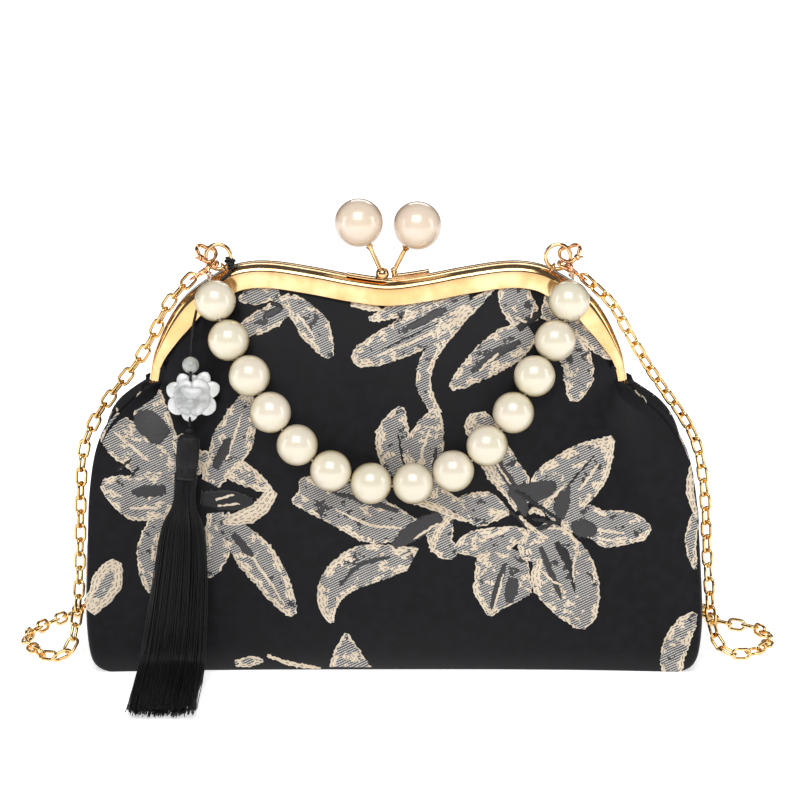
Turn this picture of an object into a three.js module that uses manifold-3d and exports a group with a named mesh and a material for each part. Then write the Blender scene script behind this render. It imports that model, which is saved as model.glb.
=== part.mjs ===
// Kiss-lock evening purse in flower brocade: a soft cloth pouch on a brass frame, with a string of
// pearls as a handle, a chain to wear it by and a jade and silk tassel.
// Millimetres, +Z up. The front faces -Y. The origin is the middle of the pouch's flat base.

import * as THREE from 'three';
import { mergeVertices } from 'three/addons/utils/BufferGeometryUtils.js';
import Module from 'manifold-3d';

const wasm = await Module();
wasm.setup();

// pouch
const pouchWidth = 240;
const pouchDepth = 67;
const clothWall = 1.6;
const baseBow = 5;
const bowHeight = 50;
const bowShift = 0.4;
const baseRound = 10;
const baseTuck = 3.6;
const foldStart = 2;
const foldFull = 26;
const gussetPinch = 16;
const gussetDip = 15;

// frame
const frameWidth = 187.2;
const frameShift = -2.4;
const hingeHeight = 112;
const frameRise = 45.7;
const frameBand = 9.3;
const frameHalfDepth = 6.4;
const frameWall = 1.1;
const halvesGap = 0.5;
const channelRoof = 3.3;
const armTaper = 0.6;
const taperStart = 0.72;
const innerLip = 0.8;
const frameCrown = 0.85;
const armRecess = 1.2;

// hinge at the end of each arm
const lugRadius = 3;
const lugThick = 1.2;
const lugDrop = 3.8;
const lugInset = 0.4;
const lugRoot = 2;
const lugShoulder = 2.2;
const rivetRadius = 1;
const rivetHead = 1.9;
const rivetHeadThick = 0.8;

// kiss lock
const lockPearl = 19;
const lockSpread = 22.7;
const lockHeight = 21.8;
const lockStagger = 1.6;
const lockLean = 1.5;
const stemRadius = 0.9;
const stripLength = 15;
const stripWidth = 4.4;
const stripThick = 1;
const stopBall = 5.2;
const backStopShare = 0.3;
const footShare = 0.1;
const stripShare = 0.06;
const collarLength = 1.2;
const collarFlare = 1.9;
const pegShare = 0.5;

// rings on the shoulders of the frame
const ringPlace = 0.538;
const ringRadius = 4.85;
const ringWire = 0.8;
const earRadius = 1.75;
const earWire = 0.5;

// pearl handle
const handlePearl = 16;
const pearlCount = 14;
const pearlSpacing = 0.2;
const pearlBore = 1.8;
const handleReach = 0.728;
const handleMiddle = -0.8;
const threadRadius = 0.5;
const threadLoop = 1.12;
const loopWire = 0.35;

// lobster clasps
const handleClaspWidth = 10;
const handleClaspLength = 7.8;
const chainClaspWidth = 5.8;
const chainClaspLength = 8.6;
const chainClaspNeck = 1.8;
const claspBand = 1.3;
const claspThick = 2;
const leverThick = 0.8;
const leverPin = 0.35;
const leverHub = 1.05;
const eyeRadius = 1.15;
const eyeWire = 0.4;
const neckRadius = 0.65;
const hookTail = 1.12;
const pinPlay = 0.24;
const knobLength = 2.2;
const knobTip = 0.4;
const knobRoot = 0.55;
const knobOut = 1.5;
const knobDown = 0.3;
const knobTilt = 0.2;

// chain
const chainWidth = 5.4;

// tassel string
const stringRadius = 0.55;
const beadDiameter = 6.6;
const knotShare = 2.6;
const lotusWidth = 21;
const lotusHeight = 18.6;
const lotusThick = 6.4;
const lotusRound = 1.6;
const tasselHeadDiameter = 8.6;
const skirtWidth = 27;
const skirtDepth = 12;

// running clearances
const seat = 0.3;
const slack = 0.5;

const brass = { color: 0xe8bf6a, roughness: 0.18, metalness: 1 };
const roseBrass = { color: 0xe0a070, roughness: 0.2, metalness: 1 };
const satin = { color: 0x1c1b21, roughness: 0.55, metalness: 0 };
const creamPearl = { color: 0xf1ecd8, roughness: 0.15, metalness: 0 };
const jade = { color: 0xe1e4e1, roughness: 0.3, metalness: 0 };
const blackSilk = { color: 0x111216, roughness: 0.6, metalness: 0 };
const nylon = { color: 0xe8e4d8, roughness: 0.6, metalness: 0 };

const purse = new THREE.Group();

const vec = (x, y, z) => new THREE.Vector3(x, y, z);
const mix = THREE.MathUtils.lerp;
const smooth = THREE.MathUtils.smoothstep;

// reads a column of a table of rows, straight between its rows
function column(table, key, name, at) {
  let k = 1;
  while (k < table.length - 1 && (table[k][key] - at) * (table[0][key] - at) > 0) {
    k += 1;
  }
  const low = table[k - 1];
  const high = table[k];
  const share = THREE.MathUtils.clamp((at - low[key]) / (high[key] - low[key]), 0, 1);
  return mix(low[name], high[name], share);
}

// one closed skin with its shared corners merged and its faces turned out
function closed(geometry) {
  geometry.deleteAttribute('uv');
  geometry.deleteAttribute('normal');
  const skin = mergeVertices(geometry, 1e-4);
  const place = skin.attributes.position;
  const index = skin.index.array;
  const corner = [vec(0, 0, 0), vec(0, 0, 0), vec(0, 0, 0)];
  let volume = 0;
  const kept = [];
  for (let i = 0; i < index.length; i += 3) {
    const same = index[i] === index[i + 1] || index[i + 1] === index[i + 2] || index[i] === index[i + 2];
    if (!same) {
      kept.push(index[i], index[i + 1], index[i + 2]);
      corner.forEach((c, k) => c.fromBufferAttribute(place, index[i + k]));
      volume += corner[0].dot(corner[1].clone().cross(corner[2]));
    }
  }
  if (volume < 0) {
    kept.reverse();
  }
  skin.setIndex(kept);
  return skin;
}

function solid(geometry) {
  const skin = closed(geometry);
  const vertProperties = new Float32Array(skin.attributes.position.array);
  const triVerts = new Uint32Array(skin.index.array);
  return new wasm.Manifold(new wasm.Mesh({ numProp: 3, vertProperties, triVerts }));
}

function skinOf(body) {
  const mesh = body.getMesh();
  const geometry = new THREE.BufferGeometry();
  geometry.setAttribute('position', new THREE.BufferAttribute(new Float32Array(mesh.vertProperties), 3));
  geometry.setIndex(Array.from(mesh.triVerts));
  return geometry;
}

function joined(geometries) {
  return geometries.map(solid).reduce((sum, next) => sum.add(next));
}

// skin over a row of rings with as many corners each, closed at both ends by the given triangles
function loft(rings, capTriangles) {
  const sides = rings[0].length;
  const points = rings.flat();
  const index = [];
  for (let r = 0; r < rings.length - 1; r += 1) {
    for (let i = 0; i < sides; i += 1) {
      const a = r * sides + i;
      const b = r * sides + (i + 1) % sides;
      index.push(a, b, b + sides, a, b + sides, a + sides);
    }
  }
  const last = (rings.length - 1) * sides;
  for (const [a, b, c] of capTriangles) {
    index.push(a, c, b);
    index.push(last + a, last + b, last + c);
  }
  const geometry = new THREE.BufferGeometry().setFromPoints(points);
  geometry.setIndex(index);
  return geometry;
}

// triangles over a flat outline, turning the same way round as it does
function capOver(outline) {
  const triangles = THREE.ShapeUtils.triangulateShape(outline, []);
  const turn = THREE.ShapeUtils.area(outline);
  return triangles.map((t) => {
    const own = THREE.ShapeUtils.area(t.map((k) => outline[k]));
    return own * turn < 0 ? [t[0], t[2], t[1]] : t;
  });
}

function fan(sides) {
  const triangles = [];
  for (let i = 1; i < sides - 1; i += 1) {
    triangles.push([0, i, i + 1]);
  }
  return triangles;
}

function addPiece(name, geometry, look, parent = purse) {
  const mesh = new THREE.Mesh(closed(geometry), new THREE.MeshStandardMaterial(look));
  mesh.name = name;
  parent.add(mesh);
  return mesh;
}

function tube(curve, radius, sides, steps) {
  const corners = [];
  for (let i = 0; i < sides; i += 1) {
    const a = i / sides * 2 * Math.PI;
    corners.push(new THREE.Vector2(radius * Math.cos(a), radius * Math.sin(a)));
  }
  const shape = new THREE.Shape(corners);
  return new THREE.ExtrudeGeometry(shape, { steps, bevelEnabled: false, extrudePath: curve });
}

// turns local x, y and z to the three given directions and moves the origin to a point
function placed(x, y, z, origin) {
  return new THREE.Matrix4().makeBasis(x, y, z).setPosition(origin);
}

// the frame's top edge from its middle to the end of an arm, as shares of half its width and its rise
const frameOutline = [
  { across: 0, up: 0.847 },
  { across: 0.145, up: 0.882 },
  { across: 0.31, up: 0.947 },
  { across: 0.476, up: 0.998 },
  { across: 0.57, up: 0.998 },
  { across: 0.654, up: 0.961 },
  { across: 0.726, up: 0.884 },
  { across: 0.794, up: 0.794 },
  { across: 0.86, up: 0.678 },
  { across: 0.916, up: 0.512 },
  { across: 0.957, up: 0.339 },
  { across: 0.983, up: 0.197 },
  { across: 1, up: 0 },
];

const frameHalf = frameWidth / 2;
const outlinePoint = (row, side) => {
  return vec(frameShift + side * row.across * frameHalf, 0, hingeHeight + row.up * frameRise);
};
const frameCurve = new THREE.CatmullRomCurve3([
  ...frameOutline.slice(1).reverse().map((row) => outlinePoint(row, -1)),
  ...frameOutline.map((row) => outlinePoint(row, 1)),
], false, 'centripetal');
frameCurve.arcLengthDivisions = 400;

// a place along the frame, from -1 at the left hinge to 1 at the right one
function frameStation(along) {
  const share = THREE.MathUtils.clamp((along + 1) / 2, 0, 1);
  const point = frameCurve.getPointAt(share);
  const tangent = frameCurve.getTangentAt(share);
  const outward = vec(-tangent.z, 0, tangent.x);
  const slim = 1 - armTaper * smooth(Math.abs(along), taperStart, 1);
  return { point, tangent, outward, slim };
}

// section of one half: a channel open towards the cloth, with a bevelled top
// inwards is measured from the top edge and forward from the plane between the halves
const gapHalf = halvesGap / 2;
const frameSection = [
  { inwards: 0, forward: gapHalf },
  { inwards: 0, forward: frameHalfDepth * 0.53 },
  { inwards: frameBand * 0.08, forward: frameHalfDepth * 0.83 },
  { inwards: frameBand * 0.24, forward: frameHalfDepth },
  { inwards: frameBand, forward: frameHalfDepth },
  { inwards: frameBand, forward: frameHalfDepth - frameWall },
  { inwards: channelRoof, forward: frameHalfDepth - frameWall },
  { inwards: channelRoof, forward: gapHalf + frameWall },
  { inwards: frameBand - innerLip, forward: gapHalf + frameWall },
  { inwards: frameBand - innerLip, forward: gapHalf },
];

const frameSteps = 30;
function frameChannel(half) {
  const outline = frameSection.map((row) => new THREE.Vector2(row.inwards, row.forward));
  const caps = capOver(outline);
  const rings = [];
  for (let i = 0; i <= frameSteps; i += 1) {
    const at = frameStation(-1 + 2 * i / frameSteps);
    rings.push(frameSection.map((row) => {
      const spot = at.point.clone().addScaledVector(at.outward, -row.inwards * at.slim);
      return vec(spot.x, half * row.forward, spot.z);
    }));
  }
  return loft(rings, caps);
}

const pivotHeight = hingeHeight - lugDrop;
const armEnd = (side) => frameShift + side * frameHalf;

// flat lug that runs down from an arm and laps over the lug of the other half
function hingeLug(side, half) {
  const outside = half > 0 ? lugInset : lugInset + lugThick + halvesGap;
  const shape = new THREE.Shape();
  const top = hingeHeight + lugRoot;
  shape.moveTo(half * gapHalf, top);
  shape.lineTo(half * (gapHalf + lugShoulder), top);
  shape.lineTo(half * lugRadius, pivotHeight + 1);
  const from = half > 0 ? 0 : Math.PI;
  const to = half > 0 ? -Math.PI : 2 * Math.PI;
  shape.absarc(0, pivotHeight, lugRadius, from, to, half > 0);
  shape.lineTo(half * gapHalf, hingeHeight - 0.5);
  const hole = new THREE.Path().absarc(0, pivotHeight, rivetRadius + seat, 0, 2 * Math.PI, false);
  shape.holes.push(hole);
  const plate = new THREE.ExtrudeGeometry(shape, { depth: lugThick, bevelEnabled: false, curveSegments: 5 });
  const x = armEnd(side) - side * outside;
  const toPlace = placed(vec(0, 1, 0), vec(0, 0, 1), vec(1, 0, 0), vec(side > 0 ? x - lugThick : x, 0, 0));
  return plate.applyMatrix4(toPlace);
}

// small upright loop on the frame's top edge that a shoulder ring hangs in
const ringLift = ringWire + seat;
const ringY = -frameHalfDepth / 2;
function ringEar(side) {
  const at = frameStation(side * ringPlace);
  const middle = at.point.clone().addScaledVector(at.outward, ringLift);
  const ear = new THREE.TorusGeometry(earRadius, earWire, 5, 10);
  return ear.applyMatrix4(placed(vec(0, -1, 0), at.outward, at.tangent, vec(middle.x, ringY, middle.z)));
}

function addFrame() {
  const front = [frameChannel(-1), hingeLug(-1, -1), hingeLug(1, -1), ringEar(-1), ringEar(1)];
  addPiece('frame_front', skinOf(joined(front)), brass);
  const back = [frameChannel(1), hingeLug(-1, 1), hingeLug(1, 1)];
  addPiece('frame_back', skinOf(joined(back)), brass);
}

// the two lugs sit between the rivet's heads
function addRivet(name, side) {
  const outer = armEnd(side) - side * (lugInset - seat);
  const inner = armEnd(side) - side * (lugInset + 2 * lugThick + halvesGap + seat);
  const length = Math.abs(outer - inner);
  const profile = [
    new THREE.Vector2(0, -rivetHeadThick),
    new THREE.Vector2(rivetHead * 0.7, -rivetHeadThick),
    new THREE.Vector2(rivetHead, 0),
    new THREE.Vector2(rivetRadius, 0),
    new THREE.Vector2(rivetRadius, length),
    new THREE.Vector2(rivetHead, length),
    new THREE.Vector2(rivetHead * 0.7, length + rivetHeadThick),
    new THREE.Vector2(0, length + rivetHeadThick),
  ];
  const rivet = new THREE.LatheGeometry(profile, 8);
  const start = vec(Math.min(outer, inner), 0, pivotHeight);
  rivet.applyMatrix4(placed(vec(0, 0, 1), vec(1, 0, 0), vec(0, 1, 0), start));
  addPiece(name, rivet, brass);
}

// the line where the cloth comes out of the frame's channel
const mouthCount = 72;
const mouth = [];
for (let i = 0; i <= mouthCount; i += 1) {
  const at = frameStation(-1 + 2 * i / mouthCount);
  const spot = at.point.clone().addScaledVector(at.outward, -frameBand * at.slim);
  mouth.push({ x: spot.x, z: spot.z, outward: at.outward });
}

// how far a point of the front view lies below that line
function belowMouth(x, z) {
  let nearest = 0;
  let shortest = Infinity;
  mouth.forEach((spot, i) => {
    const far = Math.hypot(spot.x - x, spot.z - z);
    if (far < shortest) {
      shortest = far;
      nearest = i;
    }
  });
  if (nearest === 0 || nearest === mouthCount) {
    return z < hingeHeight + 1 ? shortest : 0;
  }
  const spot = mouth[nearest];
  return Math.max(0, (spot.x - x) * spot.outward.x + (spot.z - z) * spot.outward.z);
}

// how the cloth swells out with its distance from the frame, as shares of the frame's height
// above the floor and of half the pouch's depth
const swell = [
  { below: 0, out: 0 },
  { below: 0.067, out: 0.2 },
  { below: 0.133, out: 0.36 },
  { below: 0.267, out: 0.58 },
  { below: 0.4, out: 0.74 },
  { below: 0.533, out: 0.85 },
  { below: 0.667, out: 0.93 },
  { below: 0.8, out: 0.985 },
  { below: 0.933, out: 1 },
];

// soft folds of the cloth, as shares of half the width and of the hinge height
const folds = [
  { across: -0.62, up: 0.62, turn: 62, long: 0.34, wide: 0.09, out: 1.6 },
  { across: 0.66, up: 0.66, turn: -58, long: 0.3, wide: 0.09, out: 1.5 },
  { across: -0.2, up: 0.9, turn: 84, long: 0.3, wide: 0.1, out: 1.1 },
  { across: 0.25, up: 0.86, turn: -80, long: 0.32, wide: 0.11, out: 1.2 },
  { across: -0.86, up: 0.3, turn: 75, long: 0.3, wide: 0.08, out: -1.3 },
  { across: 0.84, up: 0.34, turn: -72, long: 0.3, wide: 0.08, out: -1.4 },
  { across: 0.05, up: 0.16, turn: 4, long: 0.5, wide: 0.1, out: 1 },
];

const rimDepth = frameHalfDepth - frameWall - seat;
const pouchHalf = pouchWidth / 2;
const frameTop = hingeHeight + frameRise * frameCrown;

// distance of the pouch's front face from its middle plane
function frontDepth(x, z) {
  const below = belowMouth(x, z);
  let depth = rimDepth + column(swell, 'below', 'out', below / frameTop) * (pouchDepth / 2 - rimDepth);
  const low = Math.max(0, 1 - z / bowHeight);
  depth += baseBow * ((x / pouchHalf) ** 2 - bowShift) * low * low;
  const round = Math.max(0, 1 - Math.max(z, 0) / baseRound);
  depth -= baseTuck * round * round;
  const free = smooth(below, foldStart, foldFull);
  folds.forEach((fold) => {
    const turn = THREE.MathUtils.degToRad(fold.turn);
    const dx = x - fold.across * pouchHalf;
    const dz = z - fold.up * hingeHeight;
    const along = (dx * Math.cos(turn) + dz * Math.sin(turn)) / (fold.long * pouchHalf);
    const over = (dz * Math.cos(turn) - dx * Math.sin(turn)) / (fold.wide * pouchHalf);
    depth += free * fold.out * Math.exp(-along * along - over * over);
  });
  return depth;
}

// outline of the pouch below its hinges, from the top down: how wide, as a share of half the pouch,
// how far the row still follows the frame, and how far the side is drawn in, as a share of the pinch
const pouchRows = [
  { up: 0.94, wide: 0.857, tie: 1, pinch: 1 },
  { up: 0.87, wide: 0.929, tie: 0.8, pinch: 0.86 },
  { up: 0.786, wide: 0.969, tie: 0.5, pinch: 0.66 },
  { up: 0.65, wide: 0.992, tie: 0.3, pinch: 0.42 },
  { up: 0.42, wide: 1.003, tie: 0.1, pinch: 0.18 },
  { up: 0.16, wide: 1.006, tie: 0, pinch: 0 },
  { up: 0.04, wide: 0.988, tie: 0, pinch: 0 },
  { up: 0.012, wide: 0.968, tie: 0, pinch: 0 },
  { up: 0, wide: 0.945, tie: 0, pinch: 0 },
];

const frontColumns = 14;
const sideColumns = 4;
const rimEnd = 0.93;
// the gusset's rim is drawn in by a share of the pinch and reaches its low place over most of the fold
const rimPinch = 0.75;
const rimDrop = 1.3;
const rimRaise = 3;

// the rows at and above the hinge level lie close under the arms' ends
const waistWide = frameHalf - frameBand * (1 - armTaper) - armRecess;
// how much wider than the frame the pouch is below it
const waistSpread = 1.282;

function pouchLevels() {
  const levels = [
    { z: hingeHeight + 1, half: waistWide, tie: 1, pinch: 0.5 },
    { z: hingeHeight - 0.6, half: waistWide + 1, tie: 1, pinch: 0.62 },
    { z: hingeHeight - 1.5, half: frameHalf + 1.6, tie: 1, pinch: 1 },
  ];
  pouchRows.forEach((row) => {
    const fromPouch = row.wide * pouchHalf;
    const fromFrame = row.wide * frameHalf * waistSpread;
    levels.push({
      z: row.up * hingeHeight,
      half: mix(fromPouch, fromFrame, row.tie),
      tie: row.tie,
      pinch: row.pinch,
    });
  });
  return levels;
}

// one ring of the pouch at a level below the frame, the front first and then to the left by the back
function levelRing(level) {
  const middle = frameShift * level.tie;
  const edge = frontDepth(middle + level.half, level.z);
  const ring = [];
  for (const half of [-1, 1]) {
    for (let i = 0; i <= frontColumns; i += 1) {
      const share = half * (1 - 2 * i / frontColumns);
      const x = middle + share * level.half;
      ring.push(vec(x, half * frontDepth(x, level.z), level.z));
    }
    for (let i = 1; i < sideColumns; i += 1) {
      const share = half * (1 - 2 * i / sideColumns);
      const drawnIn = gussetPinch * level.pinch * (1 - share * share);
      ring.push(vec(middle - half * (level.half - drawnIn), share * edge, level.z));
    }
  }
  return ring;
}

// the rows above the hinge level: the rim in the channel, the channel's lip, and down to the first level
function rimRings(first) {
  const rows = [
    { inwards: channelRoof + seat, down: 0 },
    { inwards: frameBand + slack, down: 0 },
    { inwards: frameBand + slack, down: 0.4 },
  ];
  const end = frameStation(rimEnd);
  return rows.map((row, r) => first.map((low, k) => {
    const perHalf = frontColumns + sideColumns;
    const half = k < perHalf ? -1 : 1;
    const i = k % perHalf;
    if (i <= frontColumns) {
      const at = frameStation(half * (1 - 2 * i / frontColumns) * rimEnd);
      const spot = at.point.clone().addScaledVector(at.outward, -row.inwards * at.slim);
      const x = mix(spot.x, low.x, row.down);
      const z = mix(spot.z, low.z, row.down);
      return vec(x, half * (row.down === 0 ? rimDepth : frontDepth(x, z)), z);
    }
    const share = 1 - 2 * (i - frontColumns) / sideColumns;
    const fold = 1 - share * share;
    const edgeX = end.point.x - frameShift - row.inwards * end.slim;
    const rim = vec(
      frameShift - half * (edgeX - gussetPinch * rimPinch * fold),
      half * share * rimDepth,
      mix(end.point.z - r, low.z + rimRaise - r, Math.min(1, rimDrop * fold)),
    );
    return rim.lerp(low, row.down);
  }));
}

function addPouch() {
  const levels = pouchLevels().map(levelRing);
  levels.forEach((ring) => ring.forEach((spot, k) => {
    const i = k % (frontColumns + sideColumns);
    if (i > frontColumns) {
      const share = 1 - 2 * (i - frontColumns) / sideColumns;
      const high = smooth(spot.z, hingeHeight * 0.5, hingeHeight);
      spot.z -= gussetDip * high * (1 - share * share);
    }
  }));
  const outer = [...rimRings(levels[0]), ...levels];
  const base = outer[outer.length - 1];
  const baseInner = base.map((spot) => vec(spot.x * 0.5, spot.y * 0.5, 0));
  outer.push(baseInner);

  // the inner face lies one wall inside, square to the outer face
  const rows = outer.length;
  const count = outer[0].length;
  const across = vec(0, 0, 0);
  const down = vec(0, 0, 0);
  const inner = outer.map((ring, r) => ring.map((spot, k) => {
    const above = outer[Math.max(0, r - 1)][k];
    const below = outer[Math.min(rows - 1, r + 1)][k];
    across.subVectors(ring[(k + 1) % count], ring[(k + count - 1) % count]);
    down.subVectors(below, above);
    const outwards = down.clone().cross(across).normalize();
    if (r >= rows - 2) {
      const shrink = r === rows - 1 ? 0 : clothWall;
      const flat = vec(spot.x, spot.y, 0).normalize().multiplyScalar(-shrink);
      return vec(spot.x + flat.x, spot.y + flat.y, clothWall);
    }
    return spot.clone().addScaledVector(outwards, -clothWall);
  }));
  addPiece('pouch', loft([...inner.slice().reverse(), ...outer], fan(count)), satin);
}

// the middle of the frame's top edge, where the two halves of the kiss lock stand
const topMiddle = frameStation(0).point.z;

// a strip along the top of one half, its bent foot with a round stop, and the stem to the pearl
function addLock(names, half) {
  const side = half;
  const y = half * frameHalfDepth / 2;
  const foot = vec(frameShift + side * lockSpread * footShare, y, topMiddle + seat + stopBall / 2);
  const pearlZ = topMiddle + lockHeight - half * lockStagger / 2;
  const pearl = vec(frameShift + side * lockSpread / 2, half * lockLean, pearlZ);
  const away = pearl.clone().sub(foot);
  const reach = away.length();
  const up = away.normalize();
  const across = vec(0, 1, 0).cross(up).normalize();
  const turned = placed(across, up, across.clone().cross(up), foot);

  const radius = lockPearl / 2;
  const peg = radius * pegShare;
  const bore = stemRadius + seat;
  const collar = reach - radius - seat;
  const stem = new THREE.LatheGeometry([
    new THREE.Vector2(0, 0),
    new THREE.Vector2(stemRadius, 0),
    new THREE.Vector2(stemRadius, collar - collarLength),
    new THREE.Vector2(stemRadius * collarFlare, collar),
    new THREE.Vector2(stemRadius, collar),
    new THREE.Vector2(stemRadius, reach - radius + peg - seat),
    new THREE.Vector2(0, reach - radius + peg - seat),
  ], 6).applyMatrix4(turned);
  const stopSize = half < 0 ? stopBall / 2 : stopBall * backStopShare;
  const stop = new THREE.SphereGeometry(stopSize, 8, 4).translate(foot.x, foot.y, foot.z);

  const rings = [];
  const steps = 3;
  for (let i = 0; i <= steps; i += 1) {
    const x = side * (lockSpread * stripShare + stripLength * i / steps);
    const at = frameStation(x / (frameCurve.getLength() / 2));
    const low = at.point.clone().addScaledVector(at.outward, seat);
    const high = at.point.clone().addScaledVector(at.outward, seat + stripThick);
    rings.push([
      vec(low.x, y - stripWidth / 2, low.z),
      vec(low.x, y + stripWidth / 2, low.z),
      vec(high.x, y + stripWidth / 2, high.z),
      vec(high.x, y - stripWidth / 2, high.z),
    ]);
  }
  const block = new THREE.CylinderGeometry(stemRadius, stemRadius * 1.6, stopBall / 2, 6);
  block.rotateX(Math.PI / 2).translate(foot.x, foot.y, foot.z - stopBall / 4);
  addPiece(names.stem, skinOf(joined([loft(rings, fan(4)), block, stop, stem])), brass);

  const ball = [new THREE.Vector2(0, radius)];
  const open = Math.asin(bore / radius);
  const arcs = 6;
  for (let i = 1; i <= arcs; i += 1) {
    const a = mix(0, Math.PI - open, i / arcs);
    ball.push(new THREE.Vector2(radius * Math.sin(a), radius * Math.cos(a)));
  }
  ball.push(new THREE.Vector2(bore, -radius + peg), new THREE.Vector2(0, -radius + peg));
  const pearlSkin = new THREE.LatheGeometry(ball, 10).applyMatrix4(turned.setPosition(pearl));
  addPiece(names.pearl, pearlSkin, creamPearl);
}

// a ring upright on each shoulder of the frame, held in its ear
function ringCentre(side) {
  const at = frameStation(side * ringPlace);
  const middle = at.point.clone().addScaledVector(at.outward, ringLift + ringRadius);
  return vec(middle.x, ringY, middle.z);
}

function addRing(name, side) {
  const centre = ringCentre(side);
  const ring = new THREE.TorusGeometry(ringRadius, ringWire, 5, 14);
  addPiece(name, ring.rotateX(Math.PI / 2).translate(centre.x, centre.y, centre.z), brass);
}

// a point of the ring's wire and the wire's direction there, at an angle below the outer side
function ringWireAt(side, degrees) {
  const a = THREE.MathUtils.degToRad(degrees);
  const centre = ringCentre(side);
  const point = centre.clone().add(vec(side * Math.cos(a), 0, -Math.sin(a)).multiplyScalar(ringRadius));
  return { point, along: vec(side * Math.sin(a), 0, Math.cos(a)) };
}

// half of the hanging line of pearls, from an end pearl to the lowest, as shares of half the span
// and of the sag
const handleLine = [
  { across: 1, down: 0 },
  { across: 0.927, down: 0.205 },
  { across: 0.81, down: 0.386 },
  { across: 0.696, down: 0.579 },
  { across: 0.544, down: 0.765 },
  { across: 0.349, down: 0.914 },
  { across: 0.119, down: 0.989 },
  { across: 0, down: 1 },
];

const pearlRadius = handlePearl / 2;
const handleEndZ = hingeHeight + 0.73 * frameRise;

// a point of the line laid on the pouch and, at its ends, on the frame
function handlePoint(share, sag) {
  const half = Math.abs(share);
  const reach = handleReach * frameHalf;
  const x = handleMiddle + share * reach;
  const z = handleEndZ - sag * column(handleLine, 'across', 'down', half);
  const behind = Math.max(frontDepth(x, z), frameHalfDepth);
  return vec(x, -(behind + pearlRadius + slack), z);
}

// walks the line with steps of one pearl and returns how far short of its end the last pearl comes
function walkLine(sag) {
  const pitch = handlePearl + pearlSpacing;
  const spots = [handlePoint(-1, sag)];
  let share = -1;
  while (spots.length < pearlCount) {
    const last = spots[spots.length - 1];
    let near = share;
    let far = share + 0.6;
    for (let i = 0; i < 30; i += 1) {
      const middle = (near + far) / 2;
      if (handlePoint(Math.min(middle, 1), sag).distanceTo(last) > pitch || middle > 1) {
        far = middle;
      } else {
        near = middle;
      }
    }
    share = near;
    spots.push(handlePoint(share, sag));
  }
  return { spots, share };
}

// the sag that lets the pearls just fill the line
function hungPearls() {
  let shallow = 10;
  let deep = 120;
  for (let i = 0; i < 26; i += 1) {
    const sag = (shallow + deep) / 2;
    if (walkLine(sag).share > 0.9995) {
      shallow = sag;
    } else {
      deep = sag;
    }
  }
  return walkLine(deep).spots;
}

const pearlSpots = hungPearls();

// a pearl's bore halves the bend of the thread
function boreAxis(before, spot, after) {
  const into = spot.clone().sub(before).normalize();
  return after.clone().sub(spot).normalize().add(into).normalize();
}

function addHandle(ends) {
  const profile = [new THREE.Vector2(pearlBore, -Math.sqrt(pearlRadius ** 2 - pearlBore ** 2))];
  const open = Math.asin(pearlBore / pearlRadius);
  const arcs = 5;
  for (let i = 1; i <= arcs; i += 1) {
    const a = mix(open, Math.PI - open, i / arcs);
    profile.push(new THREE.Vector2(pearlRadius * Math.sin(a), -pearlRadius * Math.cos(a)));
  }
  profile.push(profile[0].clone());
  const stops = [];
  pearlSpots.forEach((spot, k) => {
    const before = k === 0 ? ends[0].held : pearlSpots[k - 1];
    const after = k === pearlCount - 1 ? ends[1].held : pearlSpots[k + 1];
    const axis = boreAxis(before, spot, after);
    const turn = new THREE.Quaternion().setFromUnitVectors(vec(0, 1, 0), axis);
    const pearl = new THREE.LatheGeometry(profile, 10).applyQuaternion(turn);
    const name = `pearl_${String(k + 1).padStart(2, '0')}`;
    addPiece(name, pearl.translate(spot.x, spot.y, spot.z), creamPearl);
    [-1, 0, 1].forEach((way) => stops.push(spot.clone().addScaledVector(axis, way * pearlRadius * 0.85)));
  });

  const line = new THREE.CatmullRomCurve3([ends[0].point, ...stops, ends[1].point], false, 'centripetal');
  const thread = tube(line, threadRadius, 4, 2 * pearlCount);
  const loops = ends.map((end) => {
    const loop = new THREE.TorusGeometry(threadLoop, loopWire, 4, 8);
    const across = end.flat.clone().cross(end.down).normalize();
    const middle = end.eye.clone().addScaledVector(end.down, threadLoop);
    return loop.applyMatrix4(placed(end.down, end.flat, across.negate(), middle));
  });
  addPiece('handle_thread', skinOf(joined([thread, ...loops])), nylon);
}

// outline of a clasp's hook, from its top notch round the right side to the tail
const hookOutline = [
  { across: 0, up: 0.84 },
  { across: 0.42, up: 1 },
  { across: 0.85, up: 0.74 },
  { across: 1, up: 0.12 },
  { across: 0.8, up: -0.48 },
  { across: 0.4, up: -0.94 },
  { across: 0, up: -hookTail },
];

function hookPoints(halfWidth, halfLength) {
  const right = hookOutline.map((row) => vec(row.across * halfWidth, row.up * halfLength, 0));
  const left = hookOutline.slice(1, -1).reverse().map((row) => {
    return vec(-row.across * halfWidth, row.up * halfLength, 0);
  });
  const curve = new THREE.CatmullRomCurve3([...right, ...left], true, 'centripetal');
  return curve.getPoints(14).slice(0, -1).map((p) => new THREE.Vector2(p.x, p.y));
}

function plate(shape, thick) {
  return new THREE.ExtrudeGeometry(shape, { depth: thick, bevelEnabled: false, curveSegments: 3 })
    .translate(0, 0, -thick / 2);
}

function disc(radius, thick, x, y) {
  return new THREE.CylinderGeometry(radius, radius, thick, 9).rotateX(Math.PI / 2).translate(x, y, 0);
}

// part of a ring about the origin between two angles in degrees
function ringPart(from, to, inner, outer, thick) {
  const shape = new THREE.Shape();
  const start = THREE.MathUtils.degToRad(from);
  const end = THREE.MathUtils.degToRad(to);
  shape.absarc(0, 0, outer, start, end, false);
  if (inner > 0) {
    shape.absarc(0, 0, inner, end, start, true);
  } else {
    shape.lineTo(0, 0);
  }
  return plate(shape, thick);
}

// the gate that the lever closes runs from its pin up to a share of the way to the hook's notch;
// angles are in degrees, the pin's round the hook and the gate's round the pin
const pivotTurn = -44;
const gateReach = 0.87;
const gateFrom = 0;
const gateTo = 130;

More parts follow.
